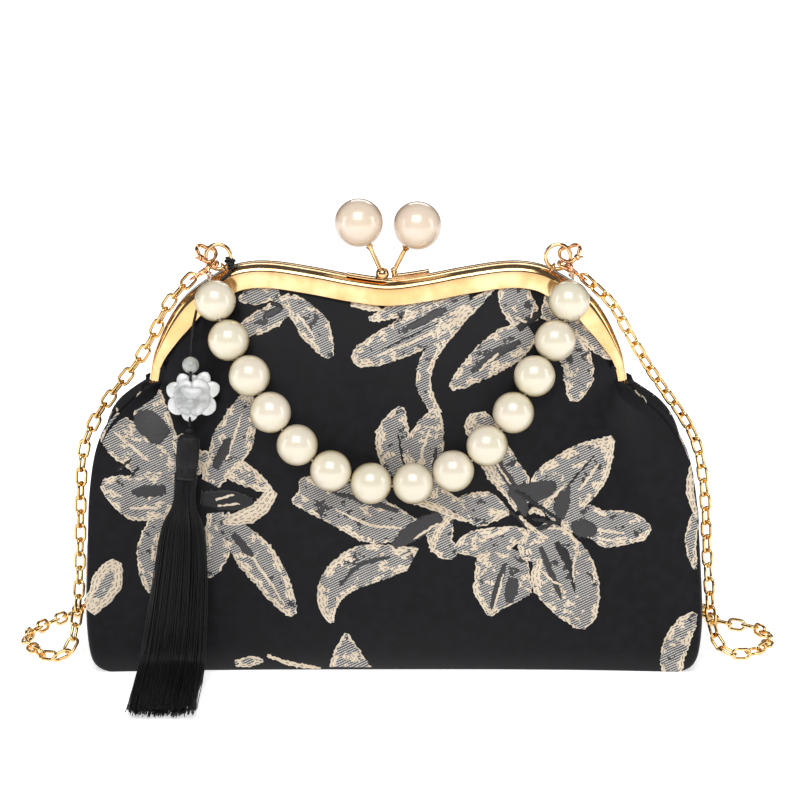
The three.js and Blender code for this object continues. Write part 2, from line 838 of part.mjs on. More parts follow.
// a lobster clasp: hook, gate lever on its pin, neck and eye, hook up and tail down
function addClasp(names, width, length, neck, matrix) {
  const halfWidth = width / 2;
  const halfLength = length / 2;
  const outer = hookPoints(halfWidth, halfLength);
  const hole = hookPoints(halfWidth - claspBand, halfLength - claspBand);
  const shape = new THREE.Shape(outer);
  shape.holes.push(new THREE.Path(hole.slice().reverse()));
  const turn = THREE.MathUtils.degToRad(pivotTurn);
  const nearest = outer.reduce((best, p, i) => {
    const off = Math.abs(Math.atan2(p.y, p.x) - turn);
    return off < best.off ? { off, i } : best;
  }, { off: Infinity, i: 0 }).i;
  const pivot = outer[nearest].clone().add(hole[nearest]).multiplyScalar(0.5);

  const eyeY = -hookTail * halfLength - neck - eyeRadius;
  const slot = leverThick + 2 * pinPlay;
  const neckBar = new THREE.CylinderGeometry(neckRadius, neckRadius, neck + 1.4, 6)
    .translate(0, -hookTail * halfLength - neck / 2 + 0.3, 0);
  const reach = gateReach * pivot.distanceTo(hole[0]);
  const opening = ringPart(gateFrom, gateTo, leverHub + seat / 2, reach + seat, claspThick * 2);
  const body = solid(plate(shape, claspThick))
    .subtract(solid(opening.translate(pivot.x, pivot.y, 0)))
    .subtract(solid(disc(leverHub + seat, slot, pivot.x, pivot.y)))
    .add(solid(disc(leverPin, claspThick, pivot.x, pivot.y)))
    .add(solid(neckBar))
    .add(solid(new THREE.TorusGeometry(eyeRadius, eyeWire, 5, 8).translate(0, eyeY, 0)));
  addPiece(names.body, skinOf(body).applyMatrix4(matrix), roseBrass);

  const gate = ringPart(gateFrom, gateTo, 0, reach, leverThick * 2).translate(pivot.x, pivot.y, 0);
  const knob = new THREE.CylinderGeometry(knobTip, knobRoot, knobLength, 6).rotateZ(-Math.PI / 2 - knobTilt)
    .scale(1, 1, leverThick / (2 * knobRoot)).translate(pivot.x + knobOut, pivot.y - knobDown, 0);
  const lever = solid(plate(shape, leverThick)).intersect(solid(gate))
    .add(solid(disc(leverHub, leverThick, pivot.x, pivot.y)))
    .add(solid(knob))
    .subtract(solid(disc(leverPin + pinPlay, leverThick * 2, pivot.x, pivot.y)));
  const hinge = new THREE.Group();
  hinge.applyMatrix4(matrix.clone().multiply(new THREE.Matrix4().makeTranslation(pivot.x, pivot.y, 0)));
  purse.add(hinge);
  addPiece(names.lever, skinOf(lever).translate(-pivot.x, -pivot.y, 0), roseBrass, hinge);
  return vec(0, eyeY, 0).applyMatrix4(matrix);
}

// the clasp leans from the ring towards the end pearl; its eye holds the loop of the thread
const handleClaspTurn = -18;
const handleClaspHang = 0.3;
function addHandleClasp(side, word) {
  const ring = ringWireAt(side, handleClaspTurn);
  const end = side < 0 ? pearlSpots[0] : pearlSpots[pearlCount - 1];
  const next = side < 0 ? pearlSpots[1] : pearlSpots[pearlCount - 2];
  const axis = boreAxis(ring.point, end, next);
  const down = end.clone().addScaledVector(axis, -pearlRadius).sub(ring.point);
  const distance = down.length();
  down.normalize();
  const flat = ring.along.clone().addScaledVector(down, -ring.along.dot(down)).normalize();
  const across = down.clone().negate().cross(flat);
  if (across.x * side < 0) {
    flat.negate();
    across.negate();
  }
  const toEye = distance - 2 * threadLoop - loopWire - slack;
  const neck = toEye - handleClaspHang - hookTail * handleClaspLength / 2 - eyeRadius;
  const centre = ring.point.clone().addScaledVector(down, handleClaspHang);
  const matrix = placed(across, down.clone().negate(), flat, centre);
  const names = { body: `handle_clasp_${word}`, lever: `handle_clasp_lever_${word}` };
  const eye = addClasp(names, handleClaspWidth, handleClaspLength, neck, matrix);
  return { eye, down, flat, held: ring.point, point: eye.clone().addScaledVector(down, 2 * threadLoop) };
}

// the chain's clasp stands edge on to the front, on the ring's lower side
const chainClaspTurn = 55;
const chainClaspFall = 32;
const chainClaspHang = 0.9;
const chainClaspBack = 0.2;
function addChainClasp(side, word) {
  const ring = ringWireAt(side, chainClaspTurn);
  const fall = THREE.MathUtils.degToRad(chainClaspFall);
  const down = vec(side * Math.cos(fall), 0, -Math.sin(fall));
  const flat = vec(side * Math.sin(fall), 0, Math.cos(fall));
  const across = down.clone().negate().cross(flat);
  const centre = ring.point.clone().addScaledVector(down, chainClaspHang).add(vec(0, chainClaspBack, 0));
  const matrix = placed(across, down.clone().negate(), flat, centre);
  const names = { body: `chain_clasp_${word}`, lever: `chain_clasp_lever_${word}` };
  const eye = addClasp(names, chainClaspWidth, chainClaspLength, chainClaspNeck, matrix);
  return eye.addScaledVector(down, eyeRadius + eyeWire + seat);
}

// a height, counted from 0 on the floor to 1 at the hinges and on to 2 at the frame's top
function heightAt(up) {
  return Math.min(up, 1) * hingeHeight + Math.max(up - 1, 0) * frameRise;
}

// how far a height follows the frame's width, as the pouch's rows do
function tieAt(up) {
  return up > pouchRows[0].up ? 1 : column(pouchRows, 'up', 'tie', up);
}

// middle line of the chain between the two clasps, chosen by hand: down each side of the pouch,
// a loop on the floor and the plain way round behind; shares of half the pouch and half its depth
const chainRoute = [
  { across: -0.715, forward: -0.119, up: 1.6455 },
  { across: -0.7659, forward: -0.119, up: 1.372 },
  { across: -0.8217, forward: -0.119, up: 1.1357 },
  { across: -0.8925, forward: -0.119, up: 0.9589 },
  { across: -0.9596, forward: -0.119, up: 0.8625 },
  { across: -1.0091, forward: -0.119, up: 0.7589 },
  { across: -1.0276, forward: -0.134, up: 0.6339 },
  { across: -1.0349, forward: -0.149, up: 0.5 },
  { across: -1.0418, forward: -0.179, up: 0.3571 },
  { across: -1.0496, forward: -0.239, up: 0.2143 },
  { across: -1.0625, forward: -0.358, up: 0.0982 },
  { across: -1.0833, forward: -0.552, up: 0.0321 },
  { across: -1.1333, forward: -0.597, up: 0 },
  { across: -1.2042, forward: -0.313, up: 0 },
  { across: -1.2375, forward: 0.06, up: 0 },
  { across: -1.2042, forward: 0.478, up: 0 },
  { across: -1.1458, forward: 0.806, up: 0 },
  { across: -1.0875, forward: 1.194, up: 0 },
  { across: -1.05, forward: 1.97, up: 0 },
  { across: -0.9333, forward: 2.985, up: 0 },
  { across: -0.7, forward: 3.821, up: 0 },
  { across: -0.375, forward: 4.299, up: 0 },
  { across: 0, forward: 4.448, up: 0 },
  { across: 0.375, forward: 4.299, up: 0 },
  { across: 0.7, forward: 3.821, up: 0 },
  { across: 0.9333, forward: 2.985, up: 0 },
  { across: 1.05, forward: 1.97, up: 0 },
  { across: 1.0708, forward: 1.194, up: 0 },
  { across: 1.0875, forward: 0.776, up: 0 },
  { across: 1.15, forward: 0.567, up: 0 },
  { across: 1.2208, forward: 0.448, up: 0 },
  { across: 1.2583, forward: 0.119, up: 0 },
  { across: 1.2375, forward: -0.239, up: 0 },
  { across: 1.175, forward: -0.478, up: 0 },
  { across: 1.1167, forward: -0.507, up: 0 },
  { across: 1.0717, forward: -0.358, up: 0.058 },
  { across: 1.0533, forward: -0.299, up: 0.1339 },
  { across: 1.0457, forward: -0.239, up: 0.25 },
  { across: 1.0368, forward: -0.179, up: 0.3929 },
  { across: 1.0324, forward: -0.149, up: 0.5357 },
  { across: 1.0213, forward: -0.119, up: 0.6607 },
  { across: 1.0027, forward: -0.119, up: 0.7634 },
  { across: 0.9665, forward: -0.119, up: 0.8527 },
  { across: 0.9075, forward: -0.119, up: 0.9509 },
  { across: 0.8409, forward: -0.119, up: 1.1422 },
  { across: 0.7834, forward: -0.119, up: 1.3939 },
  { across: 0.7284, forward: -0.119, up: 1.6455 },
];

function chainPoint(row) {
  const tie = tieAt(row.up);
  const half = mix(pouchHalf, frameHalf * waistSpread, tie);
  const z = Math.max(heightAt(row.up), chainWidth / 2 + 0.1);
  return vec(frameShift * tie + row.across * half, row.forward * pouchDepth / 2, z);
}

function addChain(ends) {
  const route = [ends[0], ...chainRoute.map(chainPoint), ends[1]];
  const line = new THREE.CatmullRomCurve3(route, false, 'centripetal');
  addPiece('shoulder_chain', tube(line, chainWidth / 2, 8, 60), brass);
}

// the tassel's cord from its knot on the left ring to the tassel, chosen by hand
const cordRoute = [
  [-63.2, -5.9, 155.8], [-64.6, -7.1, 153.4], [-67, -7.4, 151.6], [-70.2, -7.35, 149.8],
  [-74.2, -7.35, 146.3], [-76.6, -7.6, 140.5], [-78.2, -9, 132.5], [-78.7, -13, 125.8],
  [-78.7, -16.9, 120.4], [-78.7, -19.2, 115.8], [-78.8, -21.2, 107.2], [-79, -23.5, 97.4],
];
const beadPlace = 8;
const lotusPlace = 10;

const cordCurve = new THREE.CatmullRomCurve3(cordRoute.map((p) => vec(...p)), false, 'centripetal');

// turns a piece made with its bore upright to the cord's run at one of its points
function onCord(geometry, place) {
  const share = place / (cordRoute.length - 1);
  const axis = cordCurve.getTangent(share).negate();
  const side = vec(1, 0, 0).addScaledVector(axis, -axis.x).normalize();
  const matrix = placed(side, axis.clone().cross(side), axis, cordCurve.getPoint(share));
  return geometry.applyMatrix4(matrix);
}

const cordKnotTurn = 160;
const cordKnotWide = 1.15;
function addCordKnot() {
  const ring = ringWireAt(-1, cordKnotTurn);
  const loopRadius = ringWire + stringRadius + seat;
  const loop = new THREE.TorusGeometry(loopRadius, stringRadius, 5, 10);
  const outwards = vec(0, -1, 0);
  loop.applyMatrix4(placed(outwards, ring.along.clone().cross(outwards), ring.along, ring.point));
  const start = vec(...cordRoute[0]);
  const from = ring.point.clone().addScaledVector(outwards, loopRadius);
  const down = start.clone().sub(from);
  const length = down.length() - seat;
  down.normalize();
  const knot = new THREE.SphereGeometry(1, 7, 4).scale(cordKnotWide, cordKnotWide, length / 2 + 0.25);
  const side = vec(1, 0, 0).addScaledVector(down, -down.x).normalize();
  const middle = from.addScaledVector(down, length / 2 - 0.25);
  knot.applyMatrix4(placed(side, down.clone().cross(side), down, middle));
  addPiece('cord_knot', skinOf(joined([loop, knot])), blackSilk);
}

// half of the lotus outline, from the tip of its middle petal round to its foot
const lotusOutline = [
  { across: 0, up: 1 },
  { across: 0.15, up: 0.76 },
  { across: 0.36, up: 0.92 },
  { across: 0.52, up: 0.6 },
  { across: 0.8, up: 0.68 },
  { across: 0.82, up: 0.28 },
  { across: 1, up: 0.08 },
  { across: 0.92, up: -0.34 },
  { across: 0.68, up: -0.5 },
  { across: 0.5, up: -0.82 },
  { across: 0.2, up: -1 },
];

function addTasselString() {
  addPiece('tassel_cord', tube(cordCurve, stringRadius, 6, 16), blackSilk);
  const bore = stringRadius + slack;
  const radius = beadDiameter / 2;
  const open = Math.asin(bore / radius);
  const profile = [new THREE.Vector2(bore, -radius * Math.cos(open))];
  for (let i = 1; i <= 6; i += 1) {
    const a = mix(open, Math.PI - open, i / 6);
    profile.push(new THREE.Vector2(radius * Math.sin(a), -radius * Math.cos(a)));
  }
  profile.push(profile[0].clone());
  addPiece('tassel_bead', onCord(new THREE.LatheGeometry(profile, 10).rotateX(Math.PI / 2), beadPlace), jade);

  const outline = [
    ...lotusOutline.map((row) => new THREE.Vector2(row.across, row.up)),
    ...lotusOutline.slice(1).reverse().map((row) => new THREE.Vector2(-row.across, row.up)),
  ];
  outline.forEach((p) => p.set(p.x * (lotusWidth / 2 - lotusRound), p.y * (lotusHeight / 2 - lotusRound)));
  const petals = new THREE.ExtrudeGeometry(new THREE.Shape(outline), {
    depth: lotusThick - 2 * lotusRound,
    bevelThickness: lotusRound,
    bevelSize: lotusRound,
    bevelSegments: 1,
  });
  petals.translate(0, 0, -lotusThick / 2 + lotusRound).rotateX(Math.PI / 2);
  const drill = new THREE.CylinderGeometry(bore, bore, lotusHeight * 2, 10).rotateX(Math.PI / 2);
  addPiece('lotus', onCord(skinOf(solid(petals).subtract(solid(drill))), lotusPlace), jade);
}

// middle line of the tassel's skirt, chosen by hand: down the pouch and out over the floor
const skirtRoute = [
  [-80.4, -28, 80], [-81, -30.6, 70], [-81.6, -33.4, 58], [-82.4, -36, 44], [-83.6, -38.2, 30],
  [-85, -40.4, 17.5], [-86, -45, 8.2], [-86.6, -54, 4.9], [-87, -67, 4], [-87, -84, 3.2],
];

// the skirt's half width and half thickness from its neck to its tips, as shares of the full size
const skirtForm = [
  { at: 0, across: 0.34, deep: 0.36 },
  { at: 0.08, across: 0.31, deep: 0.32 },
  { at: 0.2, across: 0.66, deep: 0.72 },
  { at: 0.35, across: 0.8, deep: 0.86 },
  { at: 0.55, across: 0.92, deep: 0.9 },
  { at: 0.7, across: 1, deep: 0.72 },
  { at: 0.85, across: 1, deep: 0.48 },
  { at: 1, across: 1, deep: 0.4 },
];

// the skirt is cut as locks: how far each lies from the middle, how thick it is, how uneven their ends are
const lockCount = 6;
const lockOut = 0.62;
const lockDeep = 0.5;
const lockTip = 0.45;
const lockUneven = 0.035;
function skirtLock(number, curve) {
  const turn = (number + 0.5) / lockCount * 2 * Math.PI;
  const steps = 6;
  const sides = 5;
  const length = 1 - lockUneven * ((number * 3) % 4) / 3;
  const rings = [];
  for (let s = 0; s <= steps; s += 1) {
    const share = s / steps * length;
    const middle = curve.getPointAt(share);
    const along = curve.getTangentAt(share);
    const side = vec(1, 0, 0).addScaledVector(along, -along.x).normalize();
    const deepWay = along.clone().cross(side);
    const across = column(skirtForm, 'at', 'across', share) * skirtWidth / 2;
    const deep = column(skirtForm, 'at', 'deep', share) * skirtDepth / 2;
    const tip = s === steps ? lockTip : 1;
    const centre = middle.clone()
      .addScaledVector(side, Math.cos(turn) * across * lockOut)
      .addScaledVector(deepWay, Math.sin(turn) * deep * lockDeep);
    const ring = [];
    for (let k = 0; k < sides; k += 1) {
      const a = (k + 0.5) / sides * 2 * Math.PI;
      ring.push(centre.clone()
        .addScaledVector(side, Math.cos(a) * across * (1 - lockOut) * tip)
        .addScaledVector(deepWay, Math.sin(a) * deep * (1 - lockDeep) * tip));
    }
    rings.push(ring);
  }
  return loft(rings, fan(sides));
}

function addTassel() {
  const curve = new THREE.CatmullRomCurve3(skirtRoute.map((p) => vec(...p)), false, 'centripetal');
  const top = vec(...cordRoute[cordRoute.length - 1]);
  const neck = vec(...skirtRoute[0]);
  const down = neck.clone().sub(top).normalize();
  const radius = tasselHeadDiameter / 2;
  const knot = stringRadius * knotShare;
  const full = neck.distanceTo(top);
  const head = new THREE.LatheGeometry([
    new THREE.Vector2(0, seat),
    new THREE.Vector2(knot, seat + knot * 0.7),
    new THREE.Vector2(knot, seat + knot * 1.4),
    new THREE.Vector2(radius * 0.7, seat + knot * 1.8),
    new THREE.Vector2(radius, seat + knot * 2.8),
    new THREE.Vector2(radius, full - 3),
    new THREE.Vector2(radius * 0.88, full),
    new THREE.Vector2(radius * 0.8, full + 2.5),
    new THREE.Vector2(0, full + 2.5),
  ], 8);
  const side = vec(1, 0, 0).addScaledVector(down, -down.x).normalize();
  head.applyMatrix4(placed(side, down, side.clone().cross(down), top));
  const locks = [];
  for (let k = 0; k < lockCount; k += 1) {
    locks.push(skirtLock(k, curve));
  }
  addPiece('tassel', skinOf(joined([head, ...locks])), blackSilk);
}

addPouch();
addFrame();
addRivet('hinge_rivet_left', -1);
addRivet('hinge_rivet_right', 1);
addLock({ stem: 'clasp_stem_front', pearl: 'clasp_pearl_left' }, -1);
addLock({ stem: 'clasp_stem_back', pearl: 'clasp_pearl_right' }, 1);
addRing('shoulder_ring_left', -1);
addRing('shoulder_ring_right', 1);
addHandle([addHandleClasp(-1, 'left'), addHandleClasp(1, 'right')]);
addChain([addChainClasp(-1, 'left'), addChainClasp(1, 'right')]);
addCordKnot();
addTasselString();
addTassel();

export default purse;
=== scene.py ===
import math

import bmesh
import bpy
import numpy as np
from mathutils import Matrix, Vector
from mathutils.bvhtree import BVHTree


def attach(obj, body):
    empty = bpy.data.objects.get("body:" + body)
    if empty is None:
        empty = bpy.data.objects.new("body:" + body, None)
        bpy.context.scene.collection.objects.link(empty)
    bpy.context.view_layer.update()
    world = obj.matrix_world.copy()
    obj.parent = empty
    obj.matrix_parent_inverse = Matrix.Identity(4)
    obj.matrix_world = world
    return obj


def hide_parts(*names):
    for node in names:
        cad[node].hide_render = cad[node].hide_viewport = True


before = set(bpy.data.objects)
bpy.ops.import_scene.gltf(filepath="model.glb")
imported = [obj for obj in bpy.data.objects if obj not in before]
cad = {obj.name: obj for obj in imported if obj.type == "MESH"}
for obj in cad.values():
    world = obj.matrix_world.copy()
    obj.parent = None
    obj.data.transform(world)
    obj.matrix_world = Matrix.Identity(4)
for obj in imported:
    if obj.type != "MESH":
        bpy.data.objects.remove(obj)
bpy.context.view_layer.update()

# lengths are in millimetres up to the moment a mesh is made
millimetre = 0.001


def arr(*values):
    return np.array(values, float)


def unit(v):
    v = np.asarray(v, float)
    return v / np.linalg.norm(v)


def smoothLine(points, closed=False, between=24):
    # a smooth line through the points, the same centripetal curve as the solids have
    p = np.asarray(points, float)
    count = len(p)
    out = []
    for i in range(count if closed else count - 1):
        p1, p2 = p[i], p[(i + 1) % count]
        p0 = p[i - 1] if closed or i > 0 else 2 * p[0] - p[1]
        p3 = p[(i + 2) % count] if closed or i + 2 < count else 2 * p[-1] - p[-2]
        d0, d1, d2 = (max(np.linalg.norm(b - a) ** 0.5, 1e-4) for a, b in ((p0, p1), (p1, p2), (p2, p3)))
        t1 = ((p1 - p0) / d0 - (p2 - p0) / (d0 + d1) + (p2 - p1) / d1) * d1
        t2 = ((p2 - p1) / d1 - (p3 - p1) / (d1 + d2) + (p3 - p2) / d2) * d1
        t = np.linspace(0, 1, between, endpoint=False)[:, None]
        out.append(p1 + t1 * t + (3 * (p2 - p1) - 2 * t1 - t2) * t ** 2 + (2 * (p1 - p2) + t1 + t2) * t ** 3)
    if not closed:
        out.append(p[-1:])
    return np.concatenate(out)


def runOf(line):
    return np.concatenate([[0], np.cumsum(np.linalg.norm(np.diff(line, axis=0), axis=1))])


def atShares(line, shares):
    # points at shares of the line's length
    run = runOf(line)
    return np.stack([np.interp(np.asarray(shares) * run[-1], run, line[:, k]) for k in range(line.shape[1])], -1)


def tangentsOf(line, closed=False):
    if closed:
        d = np.roll(line, -1, 0) - np.roll(line, 1, 0)
    else:
        d = np.gradient(line, axis=0)
    return d / np.linalg.norm(d, axis=1)[:, None]


def rise(x, low, high):
    t = np.clip((np.asarray(x, float) - low) / (high - low), 0, 1)
    return t * t * (3 - 2 * t)


def gridFaces(rows, columns, wrap=False, wrapRows=False):
    faces = []
    for r in range(rows if wrapRows else rows - 1):
        for c in range(columns if wrap else columns - 1):
            a, b = r * columns + c, r * columns + (c + 1) % columns
            below = ((r + 1) % rows) * columns
            faces.append((a, b, below + (c + 1) % columns, below + c))
    return faces


def endCaps(rows, columns):
    # the two faces that close a tube made of rows
    last = (rows - 1) * columns
    return [tuple(range(columns))[::-1], tuple(last + k for k in range(columns))]


def joinParts(parts):
    points, faces, start = [], [], 0
    for p, f in parts:
        points.append(np.asarray(p, float).reshape(-1, 3))
        faces += [tuple(k + start for k in face) for face in f]
        start += len(points[-1])
    return np.concatenate(points), faces


def meshPiece(name, parts, material, body="bag", replaces=(), crease=0, outward=True, ride=True):
    # one object from parts in millimetres, doubles merged and faces turned out
    points, faces = joinParts(parts)
    mesh = bpy.data.meshes.new(name)
    mesh.from_pydata([tuple(p) for p in points * millimetre], [], faces)
    if outward:
        work = bmesh.new()
        work.from_mesh(mesh)
        bmesh.ops.remove_doubles(work, verts=work.verts, dist=2e-6)
        bmesh.ops.recalc_face_normals(work, faces=work.faces)
        work.to_mesh(mesh)
        work.free()
    mesh.polygons.foreach_set("use_smooth", [True] * len(mesh.polygons))
    obj = bpy.data.objects.new(name, mesh)
    bpy.context.scene.collection.objects.link(obj)
    mesh.materials.append(material)
    if crease:
        # edges sharper than this many degrees stay sharp under smooth shading
        mesh.set_sharp_from_angle(angle=math.radians(crease))
    if ride:
        finishPiece(obj, body, replaces)
    return obj


def finishPiece(obj, body="bag", replaces=()):
    if replaces:
        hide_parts(*replaces)
    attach(obj, body)
    return obj


def roundAngles(sides):
    return np.arange(sides) / sides * 2 * math.pi


def ringAround(centre, x, y, radius, sides):
    a = roundAngles(sides)
    return centre + np.outer(np.cos(a) * radius, x) + np.outer(np.sin(a) * radius, y)


def carriedSides(line, closed=False, first=None):
    # a side direction at each point that turns as little as it can
    tangents = tangentsOf(line, closed)
    side = np.asarray(first if first is not None else (0, 0, 1) if abs(tangents[0][2]) < 0.9 else (1, 0, 0), float)
    sides = []
    for t in tangents:
        side = unit(side - t * side.dot(t))
        sides.append(side)
    sides = np.array(sides)
    if closed:
        # spread the leftover turn round the loop
        end = unit(sides[-1] - tangents[0] * sides[-1].dot(tangents[0]))
        off = math.atan2(np.cross(end, sides[0]).dot(tangents[0]), end.dot(sides[0]))
        for i in range(len(sides)):
            turn = off * i / len(sides)
            sides[i] = sides[i] * math.cos(turn) + np.cross(tangents[i], sides[i]) * math.sin(turn)
    return tangents, sides, np.cross(tangents, sides)


def tubeAlong(line, radius, sides=10, closed=False, shape=None):
    # a tube with its ends closed; shape(row, angles) may give a share of the radius round each ring
    line = np.asarray(line, float)
    across, deep = carriedSides(line, closed)[1:]
    angles = roundAngles(sides)
    radius = np.broadcast_to(np.asarray(radius, float), (len(line),))
    rows = []
    for i, p in enumerate(line):
        r = radius[i] * (shape(i, angles) if shape else np.ones(sides))
        rows.append(p + np.outer(np.cos(angles) * r, across[i]) + np.outer(np.sin(angles) * r, deep[i]))
    faces = gridFaces(len(line), sides, True, closed)
    if not closed:
        faces += endCaps(len(line), sides)
    return np.array(rows), faces


def lathe(profile, sides, origin=(0, 0, 0), x=(1, 0, 0), y=(0, 1, 0), z=(0, 0, 1), ridges=0, ridgeDepth=0.0):
    # profile rows are (radius, height along z)
    profile = np.asarray(profile, float)
    angles = roundAngles(sides)
    wave = 1 + ridgeDepth * np.cos(ridges * angles)
    rows = [
        np.asarray(origin, float) + np.outer(np.cos(angles) * r * wave, x) + np.outer(np.sin(angles) * r * wave, y)
        + np.outer(np.full(sides, h), z)
        for r, h in profile
    ]
    faces = gridFaces(len(profile), sides, True)
    for row in (0, len(profile) - 1):
        if profile[row][0] > 1e-6:
            ring = tuple(row * sides + k for k in range(sides))
            faces.append(ring[::-1] if row == 0 else ring)
    return np.array(rows), faces


def plateParts(outline, thick, bevel, origin, x, y, z):
    # a flat plate with eased edges, its outline in x and y and its thickness along z
    outline = np.asarray(outline, float)
    middle = outline.mean(0)
    towards = middle - outline
    inset = outline + towards / np.linalg.norm(towards, axis=1)[:, None] * bevel
    levels = [(inset, 0), (outline, bevel), (outline, thick - bevel), (inset, thick)]
    rows = [
        np.asarray(origin, float) + np.outer(o[:, 0], x) + np.outer(o[:, 1], y) + np.outer(np.full(len(o), h), z)
        for o, h in levels
    ]
    count = len(outline)
    faces = gridFaces(4, count, True)
    points = np.concatenate(rows + [[np.asarray(origin, float) + middle[0] * np.asarray(x, float)
                                     + middle[1] * np.asarray(y, float) + h * np.asarray(z, float)]
                                    for h in (0, thick)])
    low, high = 4 * count, 4 * count + 1
    for k in range(count):
        n = (k + 1) % count
        faces += [(low, n, k), (high, 3 * count + k, 3 * count + n)]
    return points, faces


def meanOf(node):
    mesh = cad[node].data
    co = np.zeros(len(mesh.vertices) * 3)
    mesh.vertices.foreach_get("co", co)
    return co.reshape(-1, 3).mean(0) / millimetre


axisX, axisY, axisZ = arr(1, 0, 0), arr(0, 1, 0), arr(0, 0, 1)

camera = {"target": (2.2, -25, 108.5), "distance": 1000, "tilt": 14, "focal": 2600, "lens": 117}

cameraTilt = math.radians(camera["tilt"])
cameraForward = arr(0, math.cos(cameraTilt), -math.sin(cameraTilt))
cameraUp = arr(0, math.sin(cameraTilt), math.cos(cameraTilt))
cameraPlace = arr(*camera["target"]) - camera["distance"] * cameraForward

cameraData = bpy.data.cameras.new("camera")
cameraData.lens = camera["lens"]
cameraData.sensor_width = 36
cameraData.clip_end = 20
cameraObject = bpy.data.objects.new("camera", cameraData)
cameraObject.location = Vector(cameraPlace * millimetre)
cameraObject.rotation_euler = (math.radians(90) - cameraTilt, 0, 0)
bpy.context.scene.collection.objects.link(cameraObject)
bpy.context.scene.camera = cameraObject
bpy.context.scene.view_settings.view_transform = "Standard"

# softboxes: place, size, power, and where they point, all in metres
studioLights = {
    "keyLight": {"place": (-0.08, -0.8, 0.95), "size": (0.8, 0.7), "watts": 8, "to": (0, 0, 0.1)},
    "leftLight": {"place": (-1.2, -0.3, 0.35), "size": (0.35, 0.8), "watts": 2.2, "to": (0, 0, 0.1)},
    "rightLight": {"place": (1.2, -0.35, 0.45), "size": (0.35, 0.8), "watts": 2.6, "to": (0, 0, 0.1)},
    "backLight": {"place": (0.1, 1.1, 0.9), "size": (0.9, 0.5), "watts": 3.5, "to": (0, 0, 0.1)},
    "topLight": {"place": (0, 0.1, 1.6), "size": (1.6, 1.6), "watts": 7, "to": (0, 0, 0), "hidden": True},
}

for name, facts in studioLights.items():
    light = bpy.data.lights.new(name, "AREA")
    light.shape = "RECTANGLE"
    light.size, light.size_y = facts["size"]
    light.energy = facts["watts"]
    lamp = bpy.data.objects.new(name, light)
    lamp.location = facts["place"]
    lamp.rotation_euler = (Vector(facts["to"]) - lamp.location).to_track_quat("-Z", "Y").to_euler()
    if facts.get("hidden"):
        lamp.visible_glossy = False
    bpy.context.scene.collection.objects.link(lamp)


class Tree:
    # a short way to add nodes and link them
    def __init__(self, tree):
        self.tree = tree

    def node(self, kind, inputs=None, **props):
        made = self.tree.nodes.new(kind)
        for key, value in props.items():
            setattr(made, key, value)
        for key, value in (inputs or {}).items():
            self.put(made.inputs[key], value)
        return made

    def put(self, socket, value):
        if isinstance(value, bpy.types.NodeSocket):
            self.tree.links.new(value, socket)
        else:
            socket.default_value = value

    def math(self, operation, a, b=0.0):
        return self.node("ShaderNodeMath", {0: a, 1: b}, operation=operation).outputs[0]

    def add(self, a, b):
        return self.math("ADD", a, b)

    def minus(self, a, b):
        return self.math("SUBTRACT", a, b)

    def times(self, a, b):
        return self.math("MULTIPLY", a, b)

    def place(self):
        return self.node("ShaderNodeTexCoord").outputs["Object"]

    def paint(self, shader, tone):
        self.put(shader.inputs["Base Color"], tone)

    def bump(self, shader, height, strength, distance):
        made = self.node("ShaderNodeBump", {"Strength": strength, "Distance": distance, "Height": height})
        self.put(shader.inputs["Normal"], made.outputs[0])

    def ramp(self, value, low, high, toLow=0.0, toHigh=1.0):
        made = self.node("ShaderNodeMapRange", {"Value": value, "From Min": low, "From Max": high,
                                                "To Min": toLow, "To Max": toHigh}, interpolation_type="SMOOTHSTEP")
        return made.outputs["Result"]

    def mixColour(self, factor, a, b):
        made = self.node("ShaderNodeMix", data_type="RGBA")
        self.put(made.inputs[0], factor)
        self.put(made.inputs[6], a)
        self.put(made.inputs[7], b)
        return made.outputs[2]

    def noise(self, vector, scale, detail=2.0, roughness=0.5):
        made = self.node("ShaderNodeTexNoise", {"Vector": vector, "Scale": scale, "Detail": detail,
                                                "Roughness": roughness})
        return made.outputs["Fac"]

    def stretched(self, vector, scale, turn=(0, 0, 0)):
        made = self.node("ShaderNodeMapping", {"Vector": vector, "Scale": scale, "Rotation": turn})
        return made.outputs["Vector"]


def colour(r, g, b):
    # screen values 0 to 255 to the renderer's linear ones
    return tuple(((v / 255 + 0.055) / 1.055) ** 2.4 if v > 10 else v / 255 / 12.92 for v in (r, g, b)) + (1.0,)


world = bpy.data.worlds.new("studio")
bpy.context.scene.world = world
world.use_nodes = True
sky = Tree(world.node_tree)
world.node_tree.nodes.clear()
seenWhite = sky.node("ShaderNodeBackground", {"Color": (1, 1, 1, 1), "Strength": 1.0})
aroundGrey = sky.node("ShaderNodeBackground", {"Color": (0.9, 0.93, 1, 1), "Strength": 0.13})
lightPath = sky.node("ShaderNodeLightPath")
skyMix = sky.node("ShaderNodeMixShader")
sky.put(skyMix.inputs[0], lightPath.outputs["Is Camera Ray"])
sky.put(skyMix.inputs[1], aroundGrey.outputs[0])
sky.put(skyMix.inputs[2], seenWhite.outputs[0])
skyOut = sky.node("ShaderNodeOutputWorld")
sky.put(skyOut.inputs[0], skyMix.outputs[0])


def newMaterial(name, **values):
    material = bpy.data.materials.new(name)
    material.use_nodes = True
    tree = Tree(material.node_tree)
    shader = material.node_tree.nodes["Principled BSDF"]
    for key, value in values.items():
        shader.inputs[key.replace("_", " ")].default_value = value
    return material, tree, shader


